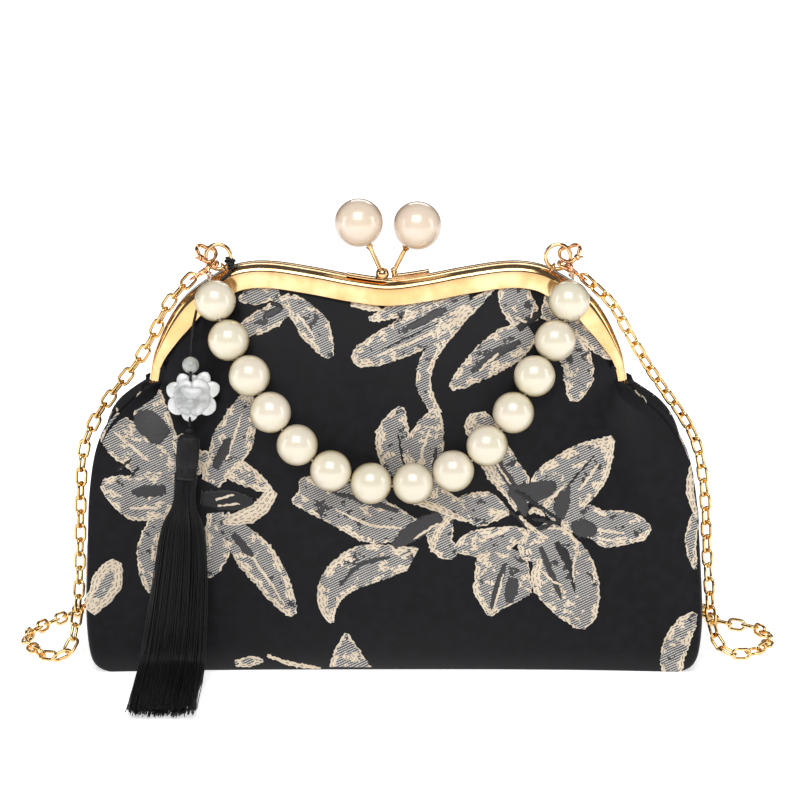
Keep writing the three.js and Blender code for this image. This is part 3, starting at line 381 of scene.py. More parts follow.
def newGroup(name, inputs, outputs, kindOfTree="ShaderNodeTree"):
    # a node group with named sockets; each input is (kind, default)
    group = bpy.data.node_groups.new(name, kindOfTree)
    for key, (kind, default) in inputs.items():
        socket = group.interface.new_socket(key, in_out="INPUT", socket_type="NodeSocket" + kind)
        if default is not None:
            socket.default_value = default
    for key, kind in outputs.items():
        group.interface.new_socket(key, in_out="OUTPUT", socket_type="NodeSocket" + kind)
    tree = Tree(group)
    return group, tree, tree.node("NodeGroupInput"), tree.node("NodeGroupOutput")


def placeGroup(tree, group, inputs):
    made = tree.node("ShaderNodeGroup", node_tree=group)
    for key, value in inputs.items():
        tree.put(made.inputs[key], value)
    return made


floorMaterial, floorTree, floorShader = newMaterial("paleFloor", Roughness=0.9)
floorPoint = floorTree.place()
floorGrain = floorTree.noise(floorPoint, 60, 3)
floorTree.paint(floorShader, floorTree.mixColour(floorGrain, (0.86, 0.86, 0.86, 1), (0.9, 0.9, 0.9, 1)))
# the sweep glows a little, more so far from the purse, so that it runs into the white behind
floorFar = floorTree.node("ShaderNodeVectorMath", {0: floorPoint}, operation="LENGTH").outputs["Value"]
floorTree.put(floorShader.inputs["Emission Color"],
              floorTree.mixColour(floorTree.ramp(floorFar, 0.16, 0.6), (0.62, 0.62, 0.62, 1), (1, 1, 1, 1)))
floorShader.inputs["Emission Strength"].default_value = 1.0

floorMesh = bpy.data.meshes.new("floor")
floorReach = 6.0
floorMesh.from_pydata([(-floorReach, -floorReach, 0), (floorReach, -floorReach, 0), (floorReach, floorReach, 0),
                       (-floorReach, floorReach, 0)], [], [(0, 1, 2, 3)])
floorMesh.materials.append(floorMaterial)
floor = bpy.data.objects.new("floor", floorMesh)
bpy.context.scene.collection.objects.link(floor)
print("camera, lights and floor are set")


# fine cloth: crossing threads as a height and a tone
clothGroup, tree, groupIn, groupOut = newGroup(
    "fineWeave",
    {"Vector": ("Vector", None), "Thread": ("Float", 0.25)},
    {"Height": "Float", "Tone": "Float"})
threadsPerUnit = tree.math("DIVIDE", 2 * math.pi * 1000, groupIn.outputs["Thread"])
apart = tree.node("ShaderNodeSeparateXYZ", {0: groupIn.outputs["Vector"]})
alongX = tree.times(tree.add(apart.outputs[0], apart.outputs[1]), threadsPerUnit)
alongZ = tree.times(tree.add(apart.outputs[2], apart.outputs[1]), threadsPerUnit)
warp = tree.math("SINE", tree.add(alongX, tree.times(alongZ, 0.5)))
weft = tree.math("SINE", tree.minus(alongZ, tree.times(alongX, 0.25)))
slub = tree.noise(groupIn.outputs["Vector"], 900, 2)
woven = tree.add(tree.times(tree.math("MAXIMUM", warp, weft), 0.35), slub)
tree.put(groupOut.inputs["Height"], woven)
tree.put(groupOut.inputs["Tone"], tree.noise(groupIn.outputs["Vector"], 260, 3))

# handled metal: soft smudges in the shine and hair-fine marks
metalGroup, tree, groupIn, groupOut = newGroup(
    "handledMetal",
    {"Vector": ("Vector", None), "Shine": ("Float", 0.15),
     "Deep": ("Color", (0.5, 0.3, 0.1, 1)), "Light": ("Color", (0.9, 0.7, 0.4, 1))},
    {"Colour": "Color", "Roughness": "Float", "Height": "Float"})
smudge = tree.noise(groupIn.outputs["Vector"], 90, 3)
marks = tree.noise(tree.stretched(groupIn.outputs["Vector"], (300, 2600, 700), (0.4, 0.2, 0.7)), 1.0, 2)
tree.put(groupOut.inputs["Colour"], tree.mixColour(tree.ramp(smudge, 0.35, 0.7), groupIn.outputs["Deep"],
                                                  groupIn.outputs["Light"]))
tree.put(groupOut.inputs["Roughness"], tree.add(groupIn.outputs["Shine"],
                                                tree.times(tree.ramp(smudge, 0.5, 0.8), 0.06)))
tree.put(groupOut.inputs["Height"], marks)

# silk thread: strands that run along an attribute
silkGroup, tree, groupIn, groupOut = newGroup(
    "silkStrands",
    {"Vector": ("Vector", None), "Dark": ("Color", (0.0015, 0.0015, 0.002, 1)),
     "Bright": ("Color", (0.008, 0.008, 0.011, 1))},
    {"Colour": "Color", "Height": "Float"})
strands = tree.noise(tree.stretched(groupIn.outputs["Vector"], (2600, 2600, 160)), 1.0, 2)
tree.put(groupOut.inputs["Colour"], tree.mixColour(tree.ramp(strands, 0.35, 0.75), groupIn.outputs["Dark"],
                                                  groupIn.outputs["Bright"]))
tree.put(groupOut.inputs["Height"], strands)


def metalMaterial(name, light, deep, shine):
    material, tree, shader = newMaterial(name, Metallic=1.0)
    point = tree.place()
    made = placeGroup(tree, metalGroup, {"Vector": point, "Shine": shine, "Deep": deep, "Light": light})
    tree.paint(shader, made.outputs["Colour"])
    tree.put(shader.inputs["Roughness"], made.outputs["Roughness"])
    tree.bump(shader, made.outputs["Height"], 0.05, 0.00004)
    return material


brass = metalMaterial("polishedBrass", colour(240, 208, 158), colour(220, 176, 120), 0.12)
chainBrass = metalMaterial("chainBrass", colour(252, 220, 156), colour(238, 190, 116), 0.13)
roseBrass = metalMaterial("roseBrass", colour(250, 208, 160), colour(232, 164, 112), 0.14)


def pearlMaterial(name, body, rim, glow):
    material, tree, shader = newMaterial(name, Roughness=0.28, IOR=1.7, Coat_Weight=1.0, Coat_Roughness=0.1)
    point = tree.place()
    # the colour runs from the body colour to a dark olive where the surface turns from the view: painted shade at the
    # pearl's rim
    facing = tree.node("ShaderNodeLayerWeight", {"Blend": 0.35}).outputs["Facing"]
    shadedToRim = tree.mixColour(tree.ramp(facing, 0.2, 0.8), body, rim)
    cloud = tree.ramp(tree.noise(point, 70, 2), 0.4, 0.7)
    tree.paint(shader, tree.mixColour(tree.times(cloud, 0.35), shadedToRim, glow))
    tree.bump(shader, tree.noise(point, 420, 2), 0.03, 0.0001)
    return material


# each pearl's second colour is the painted shade at its rim
creamPearl = pearlMaterial("creamPearl", colour(230, 221, 196), colour(158, 136, 74), colour(242, 226, 216))
lockPearl = pearlMaterial("lockPearl", colour(232, 212, 188), colour(154, 112, 66), colour(242, 220, 206))

blackSilk, tree, shader = newMaterial("blackSilk", Roughness=0.42, Specular_IOR_Level=0.35, Sheen_Weight=0.03)
silk = placeGroup(tree, silkGroup, {"Vector": tree.place()})
tree.paint(shader, silk.outputs["Colour"])
tree.bump(shader, silk.outputs["Height"], 0.3, 0.0001)

jade, tree, shader = newMaterial("paleJade", Roughness=0.22, IOR=1.6, Subsurface_Weight=0.5,
                                 Subsurface_Scale=0.004, Coat_Weight=0.4, Coat_Roughness=0.1)
shader.inputs["Subsurface Radius"].default_value = (1.0, 1.0, 0.9)
point = tree.place()
veins = tree.noise(tree.stretched(point, (130, 130, 70), (0.4, 0.3, 0)), 1.0, 5, 0.6)
tree.paint(shader, tree.mixColour(tree.ramp(veins, 0.38, 0.66), colour(214, 216, 212), colour(250, 250, 248)))
tree.put(shader.inputs["Roughness"], tree.ramp(tree.noise(point, 500, 3), 0.3, 0.8, 0.2, 0.42))
tree.bump(shader, tree.noise(point, 800, 3), 0.12, 0.0002)

beadJade, tree, shader = newMaterial("clearJade", Roughness=0.16, IOR=1.5, Transmission_Weight=0.55, Coat_Weight=0.5,
                                     Coat_Roughness=0.06)
point = tree.place()
veins = tree.noise(tree.stretched(point, (300, 300, 160), (0.5, 0.2, 0)), 1.0, 4, 0.6)
tree.paint(shader, tree.mixColour(tree.ramp(veins, 0.35, 0.65), colour(206, 210, 202), colour(246, 248, 246)))

nylon, tree, shader = newMaterial("clearNylon", Roughness=0.4, Transmission_Weight=0.3)
tree.paint(shader, tree.mixColour(tree.noise(tree.place(), 900, 2), colour(214, 206, 186), colour(240, 236, 224)))
print("finishes are made")


# the tassel's cord is the first of the pieces
tasselCord = {
    "route": [(-63.2, -5.9, 155.8), (-64.6, -7.1, 153.4), (-67, -7.4, 151.6), (-70.2, -7.35, 149.8),
              (-74.2, -7.35, 146.3), (-76.6, -7.6, 140.5), (-78.2, -9, 132.5), (-78.7, -13, 125.8),
              (-78.7, -16.9, 120.4), (-78.7, -19.2, 115.8), (-78.8, -21.2, 107.2), (-79, -23.5, 97.4)],
    "diameter": 1.1, "strands": 3, "twistPitch": 3.2, "beadRow": 8, "lotusRow": 10,
}

cordLine = smoothLine(tasselCord["route"], between=16)
cordRun = runOf(cordLine)


def cordShape(row, angles):
    twist = cordRun[row] / tasselCord["twistPitch"] * 2 * math.pi
    return 0.94 + 0.06 * np.cos(tasselCord["strands"] * (angles - twist / tasselCord["strands"]))


cordPiece = meshPiece("tasselCord", [tubeAlong(cordLine, tasselCord["diameter"] / 2, 18, shape=cordShape)],
                      blackSilk, replaces=["tassel_cord"])
print("tassel cord, %.1f mm" % cordRun[-1])


# the frame's line, which the cloth follows
frameSize = {
    "width": 187.2, "shift": -2.4, "hingeHeight": 112, "rise": 45.7, "band": 9.3, "halfDepth": 6.4,
    "wall": 1.1, "gap": 0.5, "roof": 3.3, "armTaper": 0.6, "taperStart": 0.72, "steps": 180,
    "outline": [(0, 0.847), (0.145, 0.882), (0.31, 0.947), (0.476, 0.998), (0.57, 0.998), (0.654, 0.961),
                (0.726, 0.884), (0.794, 0.794), (0.86, 0.678), (0.916, 0.512), (0.957, 0.339), (0.983, 0.197),
                (1, 0)],
}
frameHalf = frameSize["width"] / 2
hingeHeight = frameSize["hingeHeight"]


def archPoint(across, up, side):
    return (frameSize["shift"] + side * across * frameHalf, 0, hingeHeight + up * frameSize["rise"])


archLine = smoothLine([archPoint(a, u, -1) for a, u in frameSize["outline"][:0:-1]]
                      + [archPoint(a, u, 1) for a, u in frameSize["outline"]], between=40)


def frameStation(along):
    # places along the arch, from -1 at the left hinge to 1 at the right one
    along = np.atleast_1d(np.asarray(along, float))
    shares = (along + 1) / 2
    point = atShares(archLine, shares)
    step = 0.0015
    ahead = atShares(archLine, np.clip(shares + step, 0, 1)) - atShares(archLine, np.clip(shares - step, 0, 1))
    tangent = ahead / np.linalg.norm(ahead, axis=1)[:, None]
    outward = np.stack([-tangent[:, 2], np.zeros(len(along)), tangent[:, 0]], -1)
    slim = 1 - frameSize["armTaper"] * rise(np.abs(along), frameSize["taperStart"], 1)
    return point, tangent, outward, slim


mouthPoint, _, mouthOutward, mouthSlim = frameStation(np.linspace(-1, 1, 500))
mouthLine = mouthPoint - mouthOutward * (frameSize["band"] * mouthSlim)[:, None]


def belowMouth(x, z):
    # how far points of the front view lie below the line where the cloth leaves the frame
    x, z = np.broadcast_arrays(np.asarray(x, float), np.asarray(z, float))
    flatX, flatZ = x.ravel(), z.ravel()
    far = np.hypot(mouthLine[:, 0][None] - flatX[:, None], mouthLine[:, 2][None] - flatZ[:, None])
    nearest = far.argmin(1)
    shortest = far[np.arange(len(flatX)), nearest]
    inside = (mouthLine[nearest, 0] - flatX) * mouthOutward[nearest, 0] \
        + (mouthLine[nearest, 2] - flatZ) * mouthOutward[nearest, 2]
    atEnd = (nearest < 2) | (nearest > len(mouthLine) - 3)
    below = np.where(atEnd, np.where(flatZ < hingeHeight + 1, shortest, 0), np.maximum(0, inside))
    return below.reshape(x.shape)


pouch = {
    "width": 240, "depth": 67, "wall": 1.6, "baseBow": 5, "pinch": 16, "dip": 15, "rimEnd": 0.93, "bulge": 2.2,
    "frontColumns": 126, "sideColumns": 26, "upperRows": 18, "lowerRows": 66, "edgeSoftness": 2.4,
    "bowHeight": 50, "footHeight": 10, "footRound": 3.6, "foldsFrom": 2, "foldsFull": 26, "swellTop": 0.85,
    "tieWide": 1.282, "rimPinch": 0.75, "rimEase": 1.3,
    # share of the frame's height below the mouth, share of half the depth
    "swell": [(0, 0), (0.067, 0.2), (0.133, 0.36), (0.267, 0.58), (0.4, 0.74), (0.533, 0.85), (0.667, 0.93),
              (0.8, 0.985), (0.933, 1)],
    # across and up as shares, turn in degrees, length and width as shares of half the pouch, height in mm
    "folds": [(-0.62, 0.62, 62, 0.34, 0.09, 1.6), (0.66, 0.66, -58, 0.3, 0.09, 1.5),
              (-0.2, 0.9, 84, 0.3, 0.1, 1.1), (0.25, 0.86, -80, 0.32, 0.11, 1.2),
              (-0.86, 0.3, 75, 0.3, 0.08, -1.3), (0.84, 0.34, -72, 0.3, 0.08, -1.4),
              (0.05, 0.16, 4, 0.5, 0.1, 1),
              (-0.7, 0.83, 52, 0.2, 0.035, 0.7), (-0.76, 0.74, 64, 0.2, 0.04, -0.6),
              (0.7, 0.84, -50, 0.2, 0.035, 0.7), (0.77, 0.75, -62, 0.2, 0.04, -0.6),
              (-0.45, 0.3, 70, 0.4, 0.06, 0.35), (0.4, 0.4, -76, 0.4, 0.07, 0.3)],
    # rows below the hinge: up, wide, tie, pinch
    "rows": [(0.94, 0.857, 1, 1), (0.87, 0.929, 0.8, 0.86), (0.786, 0.969, 0.5, 0.66), (0.65, 0.992, 0.3, 0.42),
             (0.42, 1.003, 0.1, 0.18), (0.16, 1.006, 0, 0), (0.04, 0.988, 0, 0), (0.012, 0.968, 0, 0),
             (0, 0.945, 0, 0)],
}
pouchHalf = pouch["width"] / 2
seat, slack = 0.3, 0.5
rimDepth = frameSize["halfDepth"] - frameSize["wall"] - seat
frameTop = hingeHeight + frameSize["rise"] * pouch["swellTop"]
swellLine = smoothLine(pouch["swell"], between=12)


def frontDepth(x, z):
    # distance of the pouch's front face from its middle plane
    x, z = np.broadcast_arrays(np.asarray(x, float), np.asarray(z, float))
    below = belowMouth(x, z)
    depth = rimDepth + np.interp(below / frameTop, swellLine[:, 0], swellLine[:, 1]) * (pouch["depth"] / 2 - rimDepth)
    low = np.maximum(0, 1 - z / pouch["bowHeight"])
    depth = depth + pouch["baseBow"] * ((x / pouchHalf) ** 2 - 0.4) * low * low
    foot = np.maximum(0, 1 - np.maximum(z, 0) / pouch["footHeight"])
    depth = depth - pouch["footRound"] * foot * foot
    free = rise(below, pouch["foldsFrom"], pouch["foldsFull"])
    for across, up, turn, long, wide, out in pouch["folds"]:
        angle = math.radians(turn)
        dx, dz = x - across * pouchHalf, z - up * hingeHeight
        along = (dx * math.cos(angle) + dz * math.sin(angle)) / (long * pouchHalf)
        over = (dz * math.cos(angle) - dx * math.sin(angle)) / (wide * pouchHalf)
        depth = depth + free * out * np.exp(-along * along - over * over)
    return depth


waistWide = frameHalf - frameSize["band"] * (1 - frameSize["armTaper"]) + 0.9
levelTable = [(hingeHeight + 1, waistWide, 1, 0.5), (hingeHeight - 0.6, waistWide + 1, 1, 0.62),
              (hingeHeight - 1.5, frameHalf + 1.6, 1, 1)]
for up, wide, tie, pinch in pouch["rows"]:
    fromPouch, fromFrame = wide * pouchHalf, wide * frameHalf * pouch["tieWide"]
    levelTable.append((up * hingeHeight, fromPouch + (fromFrame - fromPouch) * tie, tie, pinch))
levelTable = np.array(levelTable)


def blurred(ring, softness):
    # eases the corners of a closed ring of points
    reach = int(softness * 3)
    weights = np.exp(-0.5 * (np.arange(-reach, reach + 1) / softness) ** 2)
    weights /= weights.sum()
    return sum(w * np.roll(ring, k, 0) for w, k in zip(weights, range(-reach, reach + 1)))


frontShare = np.sin(np.linspace(-1, 1, pouch["frontColumns"] + 1) * math.pi / 2 * 0.9) / math.sin(math.pi / 2 * 0.9)
sideShare = np.linspace(-1, 1, pouch["sideColumns"] + 1)[1:-1]


def pouchRings():
    count = pouch["frontColumns"] + 1
    sideCount = len(sideShare)

    def ringAt(z, half, tie, pinch):
        middle = frameSize["shift"] * tie
        edge = float(frontDepth(middle + half, z))
        parts = []
        for way in (-1, 1):
            # way -1 is the front, drawn from left to right, then the right side from front to back
            x = middle - way * frontShare * half
            parts.append(np.stack([x, way * frontDepth(x, np.full(count, z)), np.full(count, z)], -1))
            y = -way * sideShare * edge
            keep = 1 - sideShare ** 2
            drawn = pouch["pinch"] * pinch * keep
            dip = pouch["dip"] * rise(z, hingeHeight * 0.5, hingeHeight) * keep
            parts.append(np.stack([middle - way * (half - drawn), y, z - dip], -1))
        return np.concatenate(parts)

    # rows from the hinge level down, spaced by a smooth line through the table
    table = smoothLine(levelTable, between=10)
    table = np.concatenate([levelTable[:2], table[table[:, 0] < levelTable[1, 0] - 0.3]])
    spread = runOf(table[:, :2])
    wanted = np.linspace(0, spread[-1], pouch["lowerRows"])
    rows = np.stack([np.interp(wanted, spread, table[:, k]) for k in range(4)], -1)
    levels = [ringAt(*row) for row in rows]

    # rows from inside the channel down to the hinge level
    first = levels[0]
    upper = []
    insideRows = [(frameSize["roof"] + seat, 0), (frameSize["roof"] + 3, 0), (frameSize["band"] + slack, 0)]
    steps = np.linspace(0, 1, pouch["upperRows"])[1:-1]
    for r, (inwards, down) in enumerate(insideRows + [(frameSize["band"] + slack, d) for d in steps]):
        parts = []
        start = 0
        bulge = pouch["bulge"] * math.sin(math.pi * down)
        for way in (-1, 1):
            low = first[start:start + count]
            point, tangent, outward, slim = frameStation(-way * frontShare * pouch["rimEnd"])
            spot = point - outward * (inwards * slim)[:, None]
            spot = spot + (low - spot) * down
            spot[:, 0] -= way * np.sign(frontShare) * np.abs(frontShare) ** 8 * bulge
            if down == 0:
                spot[:, 1] = way * rimDepth
            else:
                spot[:, 1] = way * frontDepth(spot[:, 0], spot[:, 2])
            parts.append(spot)
            low = first[start + count:start + count + sideCount]
            end, _, _, endSlim = frameStation(pouch["rimEnd"])
            fold = 1 - sideShare ** 2
            edgeX = end[0, 0] - frameSize["shift"] - inwards * endSlim[0]
            number = min(r, 2) + down * 2
            topZ = end[0, 2] - number
            lowZ = low[:, 2] + 3 - number
            rim = np.stack([frameSize["shift"] - way * (edgeX - pouch["pinch"] * pouch["rimPinch"] * fold),
                            -way * sideShare * rimDepth,
                            topZ + (lowZ - topZ) * np.minimum(1, pouch["rimEase"] * fold)], -1)
            parts.append(rim + (low - rim) * down - way * bulge * axisX)
            start += count + sideCount
        upper.append(np.concatenate(parts))
    rings = upper + levels
    softened = [blurred(ring, pouch["edgeSoftness"]) for ring in rings]
    # the rows inside the frame's channel keep their place
    for r in range(len(insideRows)):
        softened[r] = rings[r]
    base = softened[-1]
    for share in (0.93, 0.8, 0.6, 0.3, 0.0):
        ring = base * arr(share, share, 1)
        ring[:, 2] = 0
        softened.append(ring)
    return softened


satin, tree, shader = newMaterial("blackSatin", Roughness=0.5, Specular_IOR_Level=0.22, Sheen_Weight=0.02)
point = tree.place()
weave = placeGroup(tree, clothGroup, {"Vector": point, "Thread": 0.42})
tree.paint(shader, tree.mixColour(tree.ramp(weave.outputs["Tone"], 0.35, 0.7), colour(4, 4, 7), colour(14, 13, 20)))
tree.put(shader.inputs["Roughness"], tree.ramp(weave.outputs["Tone"], 0.3, 0.75, 0.44, 0.56))
tree.bump(shader, weave.outputs["Height"], 0.35, 0.00012)

pouchSkin = pouchRings()
ringCount = len(pouchSkin[0])
pouchFaces = gridFaces(len(pouchSkin), ringCount, True)
pouchPiece = meshPiece("satinPouch", [(np.concatenate(pouchSkin), pouchFaces)], satin, ride=False)


def outwardCheck(obj):
    # an open skin is turned by hand: its faces point away from the pouch's middle
    mesh = obj.data
    middle = Vector((0, 0, 0.05))
    vote = sum((p.center - middle).dot(p.normal) > 0 for p in mesh.polygons)
    if vote < len(mesh.polygons) / 2:
        mesh.flip_normals()


outwardCheck(pouchPiece)
clothSurface = BVHTree.FromPolygons([v.co[:] for v in pouchPiece.data.vertices],
                                    [p.vertices[:] for p in pouchPiece.data.polygons])
wall = pouchPiece.modifiers.new("clothWall", "SOLIDIFY")
wall.thickness = pouch["wall"] * millimetre
wall.offset = -1
wall.use_rim = True
finishPiece(pouchPiece, replaces=["pouch"])
print("pouch, %d faces before its wall" % len(pouchPiece.data.polygons))


brocade, tree, shader = newMaterial("lilyBrocade", Roughness=0.48, Sheen_Weight=0.15, Sheen_Roughness=0.4)


def attribute(name, output="Fac"):
    return tree.node("ShaderNodeAttribute", attribute_name=name).outputs[output]


def stripes(value, pitch, low, high):
    # soft stripes across a length in millimetres
    return tree.ramp(tree.math("SINE", tree.times(value, 2 * math.pi / pitch)), low, high)


place = tree.node("ShaderNodeSeparateXYZ", {0: attribute("weavePlace", "Vector")})
acrossPlace, downPlace = place.outputs[0], place.outputs[1]
point = tree.place()
ragged = tree.minus(tree.noise(point, 700, 2), 0.5)
cloudy = tree.noise(point, 120, 3)
# the hatching rises to the right, as weft floats do
weftTurn = math.radians(25)
weft = tree.add(tree.times(acrossPlace, math.sin(weftTurn)), tree.times(downPlace, math.cos(weftTurn)))
diagonal = tree.add(weft, tree.times(ragged, 0.3))
hatch = stripes(diagonal, 0.86, -0.15, 0.7)
cross = stripes(tree.minus(acrossPlace, tree.times(downPlace, 0.4)), 0.95, -1.0, 0.3)
silver = tree.mixColour(cloudy, colour(196, 193, 189), colour(234, 231, 225))
greyUnder = tree.mixColour(cloudy, colour(48, 45, 44), colour(88, 84, 81))
hatched = tree.mixColour(tree.times(hatch, tree.add(0.55, tree.times(cross, 0.45))), greyUnder, silver)
plainGrey = tree.mixColour(cross, colour(36, 35, 37), colour(58, 56, 58))
# cream threads lie along the petal in rows of stitches, each row half a stitch on
alongPetal, fromLeft, fromRight = attribute("weaveAlong"), attribute("weaveLeft"), attribute("weaveRight")
fromSide = tree.math("MINIMUM", fromLeft, fromRight)
rowPitch, stitchPitch = 1.4, 2.7
rowPlace = tree.math("DIVIDE", tree.add(fromSide, tree.times(ragged, 0.5)), rowPitch)
rowNumber = tree.math("FLOOR", rowPlace)
stitchPlace = tree.add(tree.math("DIVIDE", alongPetal, stitchPitch), tree.times(rowNumber, 0.5))
inStitch, inRow = tree.math("FRACT", stitchPlace), tree.math("FRACT", rowPlace)
dash = tree.times(tree.math("LESS_THAN", inStitch, 0.62), tree.math("GREATER_THAN", inRow, 0.76))
creamThread = tree.mixColour(cloudy, colour(208, 186, 158), colour(242, 228, 206))
creamStitched = tree.mixColour(tree.times(dash, 0.8), creamThread, colour(70, 62, 56))
# the border's width wanders, and loose cream and dark patches break up the hatching
wander = tree.ramp(tree.noise(point, 240, 3), 0.32, 0.68, 0.0, 1.55)
inCreamLeft = tree.math("LESS_THAN", tree.add(fromLeft, ragged), tree.times(attribute("creamLeft"), wander))
inCreamRight = tree.math("LESS_THAN", tree.add(fromRight, ragged), tree.times(attribute("creamRight"), wander))
border = tree.math("MAXIMUM", inCreamLeft, inCreamRight)
looseNoise = tree.noise(tree.stretched(point, (150, 150, 230), (0, 0.5, 0)), 1.0, 3, 0.6)
looseNoise = tree.add(looseNoise, tree.times(ragged, 0.12))
looseDark = tree.math("LESS_THAN", looseNoise, 0.37)
looseCream = tree.math("GREATER_THAN", looseNoise, 0.61)
hatched = tree.mixColour(looseDark, hatched, plainGrey)
hatched = tree.mixColour(looseCream, hatched, creamStitched)
shades = tree.mixColour(attribute("plainShare"), hatched, plainGrey)
shades = tree.mixColour(attribute("creamShare"), shades, creamStitched)
shades = tree.mixColour(attribute("inkShare"), shades, colour(14, 14, 18))
shades = tree.mixColour(border, shades, creamStitched)
bordered = tree.math("GREATER_THAN", attribute("creamLeft"), 0.5)
outline = tree.times(tree.math("LESS_THAN", fromSide, 0.3), bordered)
tree.paint(shader, tree.mixColour(outline, shades, colour(240, 234, 222)))
raised = tree.math("MAXIMUM", border, attribute("creamShare"))
relief = tree.add(tree.times(hatch, 0.5), tree.times(tree.minus(1.3, dash), raised))
tree.bump(shader, relief, 0.6, 0.0002)

# borders of petals in the camera's view: style, layer, cream on left and right in mm, left border, right border
edgedPetals = [
    ("hatch", 2, 2.8, 3.0, [(530, 497), (531, 478), (539, 468), (557, 455), (577, 444), (612, 435)], [(551, 521),
     (563, 522), (574, 518), (589, 504), (600, 492), (611, 470), (615, 440)]),
    ("hatch", 2, 1.2, 2.6, [(560, 516), (589, 504), (603, 509), (622, 510), (639, 515), (651, 526)], [(560, 529),
     (590, 539), (603, 548), (631, 544), (646, 539), (652, 529)]),
    ("hatch", 3, 3.3, 2.4, [(527, 531), (518, 544), (521, 559), (532, 563), (530, 579), (537, 596), (557, 616),
     (577, 629)], [(545, 522), (559, 526), (577, 539), (592, 557), (599, 578), (600, 600), (596, 618), (584, 630)]),
    ("hatch", 2, 4.2, 1.2, [(507, 546), (478, 556), (474, 576), (473, 591), (488, 616)], [(527, 554), (531, 578),
     (532, 592), (518, 602), (500, 611), (492, 617)]),
    ("hatch", 1, 1.6, 1.6, [(503, 502), (489, 491), (461, 496), (453, 504)], [(512, 513), (504, 518), (478, 528),
     (468, 522), (454, 507)]),
    ("hatch", 2, 2.2, 1.4, [(531, 530), (518, 526), (474, 530), (461, 537), (453, 548)], [(529, 535), (518, 544),
     (504, 552), (474, 557), (454, 552)]),
    ("hatch", 2, 4.6, 1.8, [(515, 513), (504, 496), (489, 481), (479, 465), (468, 440), (464, 424), (470, 413)],
     [(533, 502), (530, 481), (527, 473), (518, 459), (505, 438), (493, 418), (484, 411)]),
    ("hatch", 2, 2.2, 1.8, [(420, 521), (384, 498), (353, 482), (321, 480), (310, 475), (299, 480), (299, 489),
     (291, 500)], [(414, 541), (364, 543), (340, 530), (308, 513), (292, 503)]),
    ("hatch", 3, 3.2, 2.0, [(420, 547), (364, 544), (340, 554), (325, 569), (317, 589), (318, 606), (327, 621),
     (332, 623)], [(407, 571), (373, 584), (351, 593), (338, 606), (334, 623)]),
    ("hatch", 1, 2.0, 1.6, [(329, 668), (334, 650), (345, 632)], [(373, 668), (360, 650), (348, 633)]),
]

